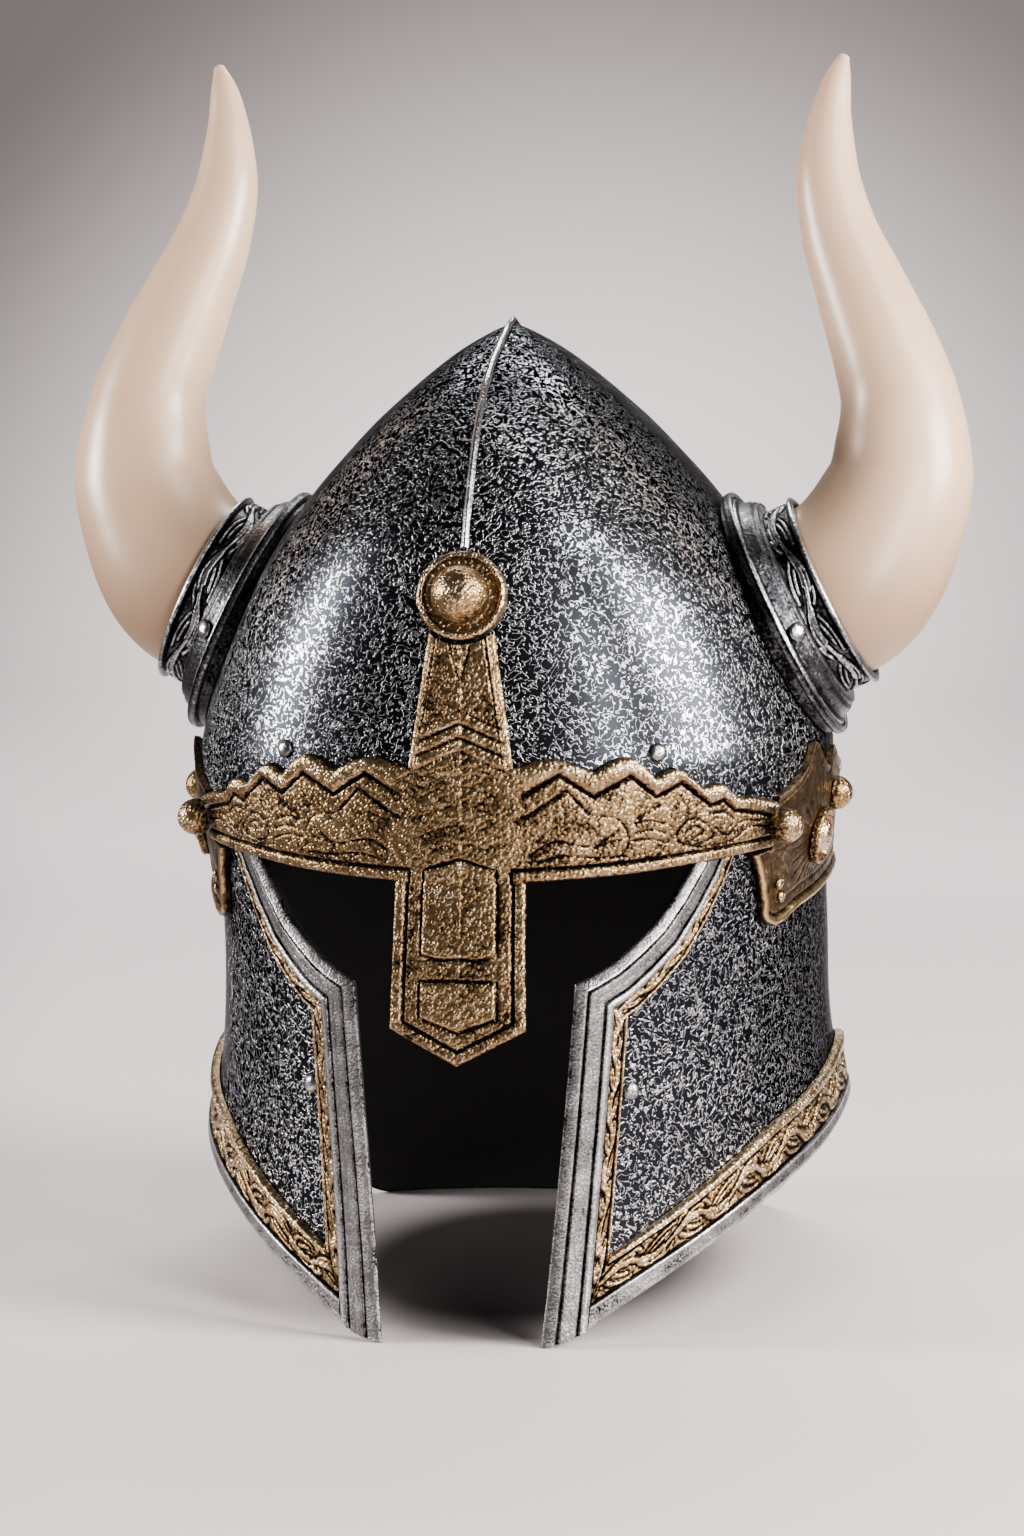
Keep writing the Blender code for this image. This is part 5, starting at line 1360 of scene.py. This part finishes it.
def start_finish(name):
    """Empty material of a name, with its tree and its Principled shader."""
    material = bpy.data.materials.new(name)
    material.use_nodes = True
    tree = material.node_tree
    tree.nodes.clear()
    shader = tree.nodes.new("ShaderNodeBsdfPrincipled")
    output = tree.nodes.new("ShaderNodeOutputMaterial")
    tree.links.new(shader.outputs["BSDF"], output.inputs["Surface"])
    return tree, shader


def etched_steel(settings):
    """Steel sheet etched in a wormy pattern, blackened, its raised strokes rubbed bright.

    The strokes are the middle level of a warped noise, so they run as short
    curling worms. What the eye gets: a silvery glitter of fine strokes over
    blue-black, denser where the rubbing was harder.
    """
    tree, shader = start_finish("etched blackened steel")
    place = add_node(tree, "ShaderNodeTexCoord").outputs["Object"]
    # strokes lie about 2 mm apart
    worms = add_node(tree, "ShaderNodeTexNoise", Vector=place, Scale=1 / 0.0019, Detail=0.0, Distortion=0.8)
    away = add_node(tree, "ShaderNodeMath", {"operation": "SUBTRACT"}, in_0=worms.outputs["Fac"], in_1=0.5)
    away = add_node(tree, "ShaderNodeMath", {"operation": "ABSOLUTE"}, in_0=away.outputs[0])
    stroke = add_node(tree, "ShaderNodeMapRange", SMOOTH, Value=away.outputs[0],
                      From_Min=0.071, From_Max=0.030)
    # breaks in the strokes, 2 mm apart
    breaks = add_node(tree, "ShaderNodeTexNoise", Vector=place, Scale=1 / 0.0021, Detail=1.0)
    kept = add_node(tree, "ShaderNodeMapRange", SMOOTH, Value=breaks.outputs["Fac"],
                    From_Min=0.36, From_Max=0.46)
    silver = add_node(tree, "ShaderNodeMath", {"operation": "MULTIPLY"}, in_0=stroke.outputs[0],
                      in_1=kept.outputs[0])
    # clouds of harder and softer rubbing, 45 mm across
    clouds = add_node(tree, "ShaderNodeTexNoise", Vector=place, Scale=1 / 0.045, Detail=3.0)
    rubbed = add_node(tree, "ShaderNodeMapRange", Value=clouds.outputs["Fac"], From_Min=0.35, From_Max=0.65,
                      To_Min=0.62, To_Max=1.0)
    shown = add_node(tree, "ShaderNodeMath", {"operation": "MULTIPLY"}, in_0=silver.outputs[0],
                     in_1=rubbed.outputs[0])
    colour = add_node(tree, "ShaderNodeMix", COLOURS, in_0=shown.outputs[0],
                      in_6=hex_colour("#272a2f"), in_7=hex_colour("#e3e4ea"))
    tree.links.new(colour.outputs[2], shader.inputs["Base Color"])
    rough = add_node(tree, "ShaderNodeMapRange", Value=shown.outputs[0], To_Min=0.30, To_Max=0.23)
    tree.links.new(rough.outputs[0], shader.inputs["Roughness"])
    shader.inputs["Metallic"].default_value = 1.0
    # blackened steel stays dark where it turns away
    shader.inputs["Specular Tint"].default_value = hex_colour("#55565a")
    bump = add_node(tree, "ShaderNodeBump", Strength=settings.stroke_bump, Distance=0.00025,
                    Height=silver.outputs[0])
    tree.links.new(bump.outputs[0], shader.inputs["Normal"])


def cast_metal(name, pit, body, worn, settings, rough=(0.50, 0.26), grain=0.0011, pebbles=0.0,
               stained=1.0):
    """Cast metal with a dark wash in its grooves and wear on its edges.

    The piece's relief picks the colour from pit to body to worn, moved up and
    down by a fine grain and by slow clouds. What the eye gets: every groove
    reads black, plain faces are warm and mottled, and edges glint.
    """
    tree, shader = start_finish(name)
    place = add_node(tree, "ShaderNodeTexCoord").outputs["Object"]
    relief = add_node(tree, "ShaderNodeAttribute", {"attribute_name": "relief"}).outputs["Fac"]
    fine = add_node(tree, "ShaderNodeTexNoise", Vector=place, Scale=1 / grain, Detail=2.0, Roughness=0.5)
    # stains of the wash, 9 mm across
    stains = add_node(tree, "ShaderNodeTexNoise", Vector=place, Scale=1 / 0.009, Detail=4.0, Roughness=0.6)
    shift = add_node(tree, "ShaderNodeMapRange", Value=fine.outputs["Fac"], From_Min=0.3, From_Max=0.7,
                     To_Min=-0.20 * settings.mottling, To_Max=0.20 * settings.mottling)
    stained = stained * settings.mottling
    drift = add_node(tree, "ShaderNodeMapRange", Value=stains.outputs["Fac"], From_Min=0.3, From_Max=0.7,
                     To_Min=-0.22 * stained, To_Max=0.16 * stained)
    moved = add_node(tree, "ShaderNodeMath", {"operation": "ADD"}, in_0=shift.outputs[0],
                     in_1=drift.outputs[0])
    level = add_node(tree, "ShaderNodeMath", {"operation": "ADD"}, in_0=relief, in_1=moved.outputs[0])
    height = fine.outputs["Fac"]
    if pebbles:
        # skin of rounded pebbles, 1.6 mm across, with the wash in the creases
        cells = add_node(tree, "ShaderNodeTexVoronoi", {"feature": "SMOOTH_F1"}, Vector=place,
                         Scale=1 / 0.0016, Smoothness=0.25)
        top = add_node(tree, "ShaderNodeMapRange", SMOOTH, Value=cells.outputs["Distance"],
                       From_Min=0.62, From_Max=0.25)
        crease = add_node(tree, "ShaderNodeMapRange", Value=top.outputs[0], To_Min=-0.13 * pebbles,
                          To_Max=0.04)
        level = add_node(tree, "ShaderNodeMath", {"operation": "ADD"}, in_0=level.outputs[0],
                         in_1=crease.outputs[0])
        height = add_node(tree, "ShaderNodeMath", {"operation": "ADD"}, in_0=top.outputs[0],
                          in_1=height).outputs[0]
    # 0.12 is the floor of a pit, 0.5 the plain face and 0.9 a worn edge
    lower = add_node(tree, "ShaderNodeMapRange", SMOOTH, Value=level.outputs[0],
                     From_Min=0.12, From_Max=0.5)
    upper = add_node(tree, "ShaderNodeMapRange", SMOOTH, Value=level.outputs[0],
                     From_Min=0.5, From_Max=0.9)
    dark = add_node(tree, "ShaderNodeMix", COLOURS, in_0=lower.outputs[0],
                    in_6=hex_colour(pit), in_7=hex_colour(body))
    colour = add_node(tree, "ShaderNodeMix", COLOURS, in_0=upper.outputs[0],
                      in_6=dark.outputs[2], in_7=hex_colour(worn))
    tree.links.new(colour.outputs[2], shader.inputs["Base Color"])
    gloss = add_node(tree, "ShaderNodeMapRange", Value=level.outputs[0], From_Min=0.0, From_Max=0.9,
                     To_Min=rough[0], To_Max=rough[1])
    tree.links.new(gloss.outputs[0], shader.inputs["Roughness"])
    shader.inputs["Metallic"].default_value = 1.0
    bump = add_node(tree, "ShaderNodeBump", Strength=settings.grain_bump, Distance=0.0003, Height=height)
    tree.links.new(bump.outputs[0], shader.inputs["Normal"])


def horn_resin(settings):
    """Cast resin, polished, cream with faint yellow clouds, stained tan at the collar.

    What the eye gets: a smooth, slightly waxy cream horn that warms to tan
    where it leaves the metal, which is real staining, and tan along its underside,
    which is painted shade.
    """
    tree, shader = start_finish("polished cast resin")
    place = add_node(tree, "ShaderNodeTexCoord").outputs["Object"]
    # clouds in the cast, 30 mm across
    clouds = add_node(tree, "ShaderNodeTexNoise", Vector=place, Scale=1 / 0.030, Detail=3.0)
    cream = add_node(tree, "ShaderNodeMix", COLOURS, in_0=clouds.outputs["Fac"],
                     in_6=hex_colour("#f0cdae"), in_7=hex_colour("#e2ba95"))
    share = add_node(tree, "ShaderNodeAttribute", {"attribute_name": "relief"}).outputs["Fac"]
    # tan staining near the collar; lower relief on the underside adds painted shade there
    collar_stain_and_underside_shade = add_node(tree, "ShaderNodeMapRange", SMOOTH, Value=share,
                     From_Min=0.52, From_Max=0.08, To_Min=0.0, To_Max=0.85)
    colour = add_node(tree, "ShaderNodeMix", COLOURS, in_0=collar_stain_and_underside_shade.outputs[0],
                      in_6=cream.outputs[2], in_7=hex_colour("#8f7358"))
    tree.links.new(colour.outputs[2], shader.inputs["Base Color"])
    shader.inputs["Roughness"].default_value = settings.horn_roughness
    shader.inputs["Specular IOR Level"].default_value = 0.85
    shader.inputs["Subsurface Weight"].default_value = 0.06
    shader.inputs["Subsurface Radius"].default_value = (0.006, 0.004, 0.0025)
    shader.inputs["Subsurface Scale"].default_value = 1.0
    bump = add_node(tree, "ShaderNodeBump", Strength=0.05, Distance=0.0005, Height=clouds.outputs["Fac"])
    tree.links.new(bump.outputs[0], shader.inputs["Normal"])


def painted_inside():
    """Steel painted matt black inside. What the eye gets: a hollow that reads as dark."""
    tree, shader = start_finish("black painted steel")
    place = add_node(tree, "ShaderNodeTexCoord").outputs["Object"]
    brushed = add_node(tree, "ShaderNodeTexNoise", Vector=place, Scale=1 / 0.004, Detail=2.0)
    colour = add_node(tree, "ShaderNodeMix", COLOURS, in_0=brushed.outputs["Fac"],
                      in_6=hex_colour("#050505"), in_7=hex_colour("#0c0c0d"))
    tree.links.new(colour.outputs[2], shader.inputs["Base Color"])
    shader.inputs["Roughness"].default_value = 0.8


def studio_backdrop(settings):
    """Seamless pale grey-lilac paper, matt, with painted shade at its sides and its top and a painted
    shadow under the helmet.

    What the eye gets: a backdrop without an edge, pale in the middle, with a
    dark foot under the helmet that is painted shadow.
    """
    tree, shader = start_finish("matt pale paper")
    place = add_node(tree, "ShaderNodeTexCoord").outputs["Object"]
    parts = add_node(tree, "ShaderNodeSeparateXYZ", Vector=place)
    # painted shade: the paper's colour darkens away from a spot behind the helmet
    away = add_node(tree, "ShaderNodeVectorMath", {"operation": "DISTANCE"}, in_0=place,
                    in_1=(-0.22, 1.3, 0.12))
    shade = add_node(tree, "ShaderNodeMapRange", SMOOTH, Value=away.outputs["Value"],
                     From_Min=0.14, From_Max=0.62, To_Min=0.0, To_Max=0.86)
    risen = add_node(tree, "ShaderNodeMapRange", Value=parts.outputs["Z"], From_Min=0.02, From_Max=0.10)
    shade = add_node(tree, "ShaderNodeMath", {"operation": "MULTIPLY"}, in_0=shade.outputs[0],
                     in_1=risen.outputs[0])
    # and painted shade to either side of the strip that is lit
    left = add_node(tree, "ShaderNodeMath", {"operation": "MULTIPLY_ADD"}, in_0=parts.outputs["Y"],
                    in_1=-0.28, in_2=0.10)
    left = add_node(tree, "ShaderNodeMath", {"operation": "SUBTRACT"}, in_0=left.outputs[0],
                    in_1=parts.outputs["X"])
    strip = add_node(tree, "ShaderNodeMath", {"operation": "MAXIMUM"}, in_0=left.outputs[0],
                     in_1=parts.outputs["X"])
    edge = add_node(tree, "ShaderNodeMapRange", SMOOTH, Value=strip.outputs[0],
                    From_Min=0.26, From_Max=0.52, To_Min=0.0, To_Max=0.9)
    shade = add_node(tree, "ShaderNodeMath", {"operation": "MAXIMUM"}, in_0=shade.outputs[0],
                     in_1=edge.outputs[0])
    # painted shadow: nearly black where the helmet stands, in an oval that is deeper than it is wide
    near = add_node(tree, "ShaderNodeVectorMath", {"operation": "MULTIPLY"}, in_0=place,
                    in_1=(1.6, 1.0, 1.0))
    near = add_node(tree, "ShaderNodeVectorMath", {"operation": "LENGTH"}, in_0=near.outputs[0])
    stand = add_node(tree, "ShaderNodeMapRange", SMOOTH, Value=near.outputs["Value"],
                     From_Min=0.15, From_Max=0.08, To_Min=0.0, To_Max=0.97)
    # the paper's colour, mixed towards dark grey by the painted shade
    colour = add_node(tree, "ShaderNodeMix", COLOURS, in_0=shade.outputs[0],
                      in_6=(*settings.paper, 1.0), in_7=hex_colour("#181617"))
    # the painted shadow, laid over the paper where the helmet stands
    colour = add_node(tree, "ShaderNodeMix", COLOURS, in_0=stand.outputs[0],
                      in_6=colour.outputs[2], in_7=hex_colour("#0d0c0c"))
    tree.links.new(colour.outputs[2], shader.inputs["Base Color"])
    shader.inputs["Roughness"].default_value = 0.9
    shader.inputs["Specular IOR Level"].default_value = 0.2


def build_stage(settings):
    """Paper sweep, soft boxes, pale room light and the camera."""
    turn = np.linspace(0.1, np.pi / 2, 14)
    depth = np.concatenate([np.linspace(PAPER_FRONT, PAPER_BEND, 12),
                            PAPER_BEND + PAPER_RADIUS * np.sin(turn), [PAPER_BEND + PAPER_RADIUS]])
    height = np.concatenate([np.zeros(12), PAPER_RADIUS - PAPER_RADIUS * np.cos(turn), [PAPER_TOP]])
    across = np.array([-PAPER_HALF_WIDTH, PAPER_HALF_WIDTH])
    points = np.stack(np.broadcast_arrays(across, depth[:, None], height[:, None]), -1)
    mesh = make_mesh("paper_sweep", points.reshape(-1, 3), grid_quads(len(depth), 2).reshape(-1, 4),
                     np.full(points.shape[:2], 0.5).ravel(), sharp=80)
    mesh.materials.append(bpy.data.materials["matt pale paper"])
    sweep = bpy.data.objects.new("paper_sweep", mesh)
    bpy.context.scene.collection.objects.link(sweep)

    def soft_box(name, place, aim, size, power, tint="#ffffff"):
        """Rectangular soft box at a place, turned to face a point."""
        light = bpy.data.lights.new(name, "AREA")
        light.shape = "RECTANGLE"
        light.size, light.size_y = size
        light.energy = power
        light.color = hex_colour(tint)[:3]
        box = bpy.data.objects.new(name, light)
        box.location = place
        box.rotation_euler = (Vector(aim) - Vector(place)).to_track_quat("-Z", "Y").to_euler()
        bpy.context.scene.collection.objects.link(box)

    warm = "#fff8f4"
    # name, place, aim, size, power, tint
    for box in (
            ("key_left", (-1.28, -0.22, 0.56), (0, 0, 0.20), (0.32, 0.45), settings.key_power, warm),
            ("key_right", (1.22, -0.30, 0.64), (0, 0, 0.20), (0.60, 0.55), settings.fill_power, warm),
            ("strip_right", (0.86, -1.05, 0.46), (0, 0, 0.20), (0.30, 0.60), settings.strip_power, warm),
            ("high_right", (0.75, -0.45, 1.05), (0, 0, 0.25), (0.35, 0.35), settings.high_power),
            ("front_soft", (0.9, -1.9, 1.3), (0, 0, 0.18), (0.9, 0.9), settings.front_power),
            ("paper_wash", (-0.05, 1.15, 1.6), (-0.05, 0.75, 0), (1.4, 0.4), settings.wash_power)):
        soft_box(*box)

    world = bpy.data.worlds.new("pale room")
    world.use_nodes = True
    world.node_tree.nodes["Background"].inputs["Color"].default_value = hex_colour("#c6c4c8")
    world.node_tree.nodes["Background"].inputs["Strength"].default_value = settings.room
    bpy.context.scene.world = world

    lens = bpy.data.cameras.new("view")
    lens.sensor_fit = "VERTICAL"
    lens.sensor_height = 36.0
    lens.lens = settings.lens
    camera = bpy.data.objects.new("view", lens)
    place = Vector(CAMERA_PLACE)
    look = (Vector(CAMERA_AIM) - place).to_track_quat("-Z", "Y").to_matrix().to_4x4()
    roll = Matrix.Rotation(np.radians(CAMERA_ROLL), 4, "Z")
    camera.matrix_world = Matrix.Translation(place) @ look @ roll
    bpy.context.scene.collection.objects.link(camera)
    bpy.context.scene.camera = camera


class HelmetFinishes(bpy.types.PropertyGroup):
    """How the finishes of the helmet look."""
    stroke_bump: FloatProperty(name="Stroke bump", description="Strength of the strokes on the steel",
                               default=0.5, min=0.0, max=1.0, subtype="FACTOR")
    grain_bump: FloatProperty(name="Grain bump", description="Strength of the casting grain",
                              default=0.75, min=0.0, max=1.0, subtype="FACTOR")
    mottling: FloatProperty(name="Mottling", description="How unevenly the dark wash lies on cast metal",
                            default=1.0, min=0.0, max=2.0, subtype="FACTOR")
    horn_roughness: FloatProperty(name="Horn roughness", description="Roughness of the polished horns",
                                  default=0.34, min=0.0, max=1.0, subtype="FACTOR")


class HelmetStage(bpy.types.PropertyGroup):
    """Light and paper around the helmet."""
    paper: FloatVectorProperty(name="Paper", description="Colour of the backdrop paper",
                               default=hex_colour("#e6dbdd")[:3], size=3, subtype="COLOR", min=0.0, max=1.0)
    key_power: FloatProperty(name="Key power", description="Power of the soft box on the left",
                             default=27.0, min=0.0, unit="POWER")
    fill_power: FloatProperty(name="Fill power", description="Power of the soft box on the right",
                              default=47.0, min=0.0, unit="POWER")
    strip_power: FloatProperty(name="Strip power", description="Power of the narrow box at the right front",
                               default=12.0, min=0.0, unit="POWER")
    high_power: FloatProperty(name="High power", description="Power of the small box high at the right",
                              default=4.5, min=0.0, unit="POWER")
    front_power: FloatProperty(name="Front power", description="Power of the soft box in front",
                               default=0.6, min=0.0, unit="POWER")
    wash_power: FloatProperty(name="Backdrop power", description="Power of the light on the backdrop",
                              default=32.0, min=0.0, unit="POWER")
    room: FloatProperty(name="Room light", description="Strength of the even light of the room",
                        default=0.085, min=0.0, subtype="FACTOR")
    lens: FloatProperty(name="Lens", description="Focal length of the camera, in millimetres",
                        default=95.33, min=1.0, unit="CAMERA")


class HELMET_OT_finishes(bpy.types.Operator):
    """Make the materials of every piece."""
    bl_idname = "helmet.finishes"
    bl_label = "Finishes"

    def execute(self, context):
        """Make the finishes from the settings."""
        settings = context.scene.helmet_finishes
        etched_steel(settings)
        # lost-wax brass, washed dark and rubbed back
        cast_metal("antiqued cast brass", "#150e08", "#967b56", "#ecd5b0", settings,
                   rough=(0.44, 0.24), pebbles=1.0)
        # the same brass, burnished on round studs
        cast_metal("burnished brass", "#2c1f13", "#a5865a", "#ecd5b0", settings,
                   rough=(0.40, 0.22), pebbles=0.3, stained=0.4)
        # rolled silver moulding, wire-brushed, blackened in its grooves
        cast_metal("wire-brushed silver", "#0b0b0d", "#807f7f", "#dcdcde", settings,
                   rough=(0.46, 0.26), grain=0.0008)
        # burnished silver wire and rivet heads
        cast_metal("burnished silver", "#2b2b2e", "#8c8b8c", "#dededf", settings, rough=(0.40, 0.20))
        # bronze sheet, patinated brown, with rubbed edges
        cast_metal("patinated bronze", "#150e08", "#5e4a30", "#c4a678", settings,
                   rough=(0.48, 0.30), grain=0.0016)
        # cast pewter, blackened, strands rubbed bright
        cast_metal("blackened cast pewter", "#08090b", "#4f4f53", "#cfd0d3", settings, rough=(0.42, 0.26))
        horn_resin(settings)
        painted_inside()
        studio_backdrop(context.scene.helmet_stage)
        return {"FINISHED"}


class HELMET_OT_shell(bpy.types.Operator):
    """Build the dome, the lower shell and the crest rib."""
    bl_idname = "helmet.shell"
    bl_label = "Shell"

    def execute(self, context):
        """Build the two shells and the rib."""
        build_skull()
        build_face_guard()
        build_crest_rib()
        return {"FINISHED"}


class HELMET_OT_brow(bpy.types.Operator):
    """Build the brow band with its nasal bar, the boss above it and the band behind."""
    bl_idname = "helmet.brow"
    bl_label = "Brow band and nasal bar"

    def execute(self, context):
        """Build the castings of the brow and the nape."""
        build_brow_nasal()
        build_nasal_boss()
        build_nape_band()
        return {"FINISHED"}


class HELMET_OT_temples(bpy.types.Operator):
    """Build the temple plates with every stud, boss and rivet of the shell."""
    bl_idname = "helmet.temples"
    bl_label = "Temple plates and studs"

    def execute(self, context):
        """Build the plates and what sits on them."""
        build_temple_plate()
        build_studs()
        return {"FINISHED"}


class HELMET_OT_mouldings(bpy.types.Operator):
    """Build the mouldings of the face opening and of the bottom rim."""
    bl_idname = "helmet.mouldings"
    bl_label = "Mouldings"

    def execute(self, context):
        """Build the frame, the inlay and the hem."""
        build_face_frame()
        build_face_inlay()
        build_hem()
        return {"FINISHED"}


class HELMET_OT_horns(bpy.types.Operator):
    """Build the horn collars with their rivets, and the horns."""
    bl_idname = "helmet.horns"
    bl_label = "Horns and collars"

    def execute(self, context):
        """Build the collars and the horns."""
        build_collars()
        build_horns()
        return {"FINISHED"}


class HELMET_OT_stage(bpy.types.Operator):
    """Set up the paper, the lights and the camera."""
    bl_idname = "helmet.stage"
    bl_label = "Stage"

    def execute(self, context):
        """Build the stage from the settings."""
        build_stage(context.scene.helmet_stage)
        return {"FINISHED"}


OPERATORS = (HELMET_OT_finishes, HELMET_OT_shell, HELMET_OT_brow, HELMET_OT_temples, HELMET_OT_mouldings,
             HELMET_OT_horns, HELMET_OT_stage)


class HELMET_PT_panel(bpy.types.Panel):
    """Sidebar panel with the helmet's settings and its steps in order."""
    bl_idname = "HELMET_PT_panel"
    bl_label = "Horned helmet"
    bl_space_type = "VIEW_3D"
    bl_region_type = "UI"
    bl_category = "Helmet"

    def draw(self, context):
        """Settings first, then a button for each step."""
        for group in (context.scene.helmet_finishes, context.scene.helmet_stage):
            box = self.layout.box()
            for key in group.__annotations__:
                box.prop(group, key)
        for operator in OPERATORS:
            self.layout.operator(operator.bl_idname)


CLASSES = (HelmetFinishes, HelmetStage, *OPERATORS, HELMET_PT_panel)


def register():
    """Register the classes and hang the settings on the scene."""
    for cls in CLASSES:
        bpy.utils.register_class(cls)
    bpy.types.Scene.helmet_finishes = PointerProperty(type=HelmetFinishes)
    bpy.types.Scene.helmet_stage = PointerProperty(type=HelmetStage)


def unregister():
    """Take the settings off the scene and unregister the classes."""
    del bpy.types.Scene.helmet_stage
    del bpy.types.Scene.helmet_finishes
    for cls in reversed(CLASSES):
        bpy.utils.unregister_class(cls)


def main():
    """Build the helmet and its stage in order."""
    register()
    bpy.ops.helmet.finishes()
    bpy.ops.helmet.shell()
    bpy.ops.helmet.brow()
    bpy.ops.helmet.temples()
    bpy.ops.helmet.mouldings()
    bpy.ops.helmet.horns()
    bpy.ops.helmet.stage()


if __name__ == "__main__":
    main()
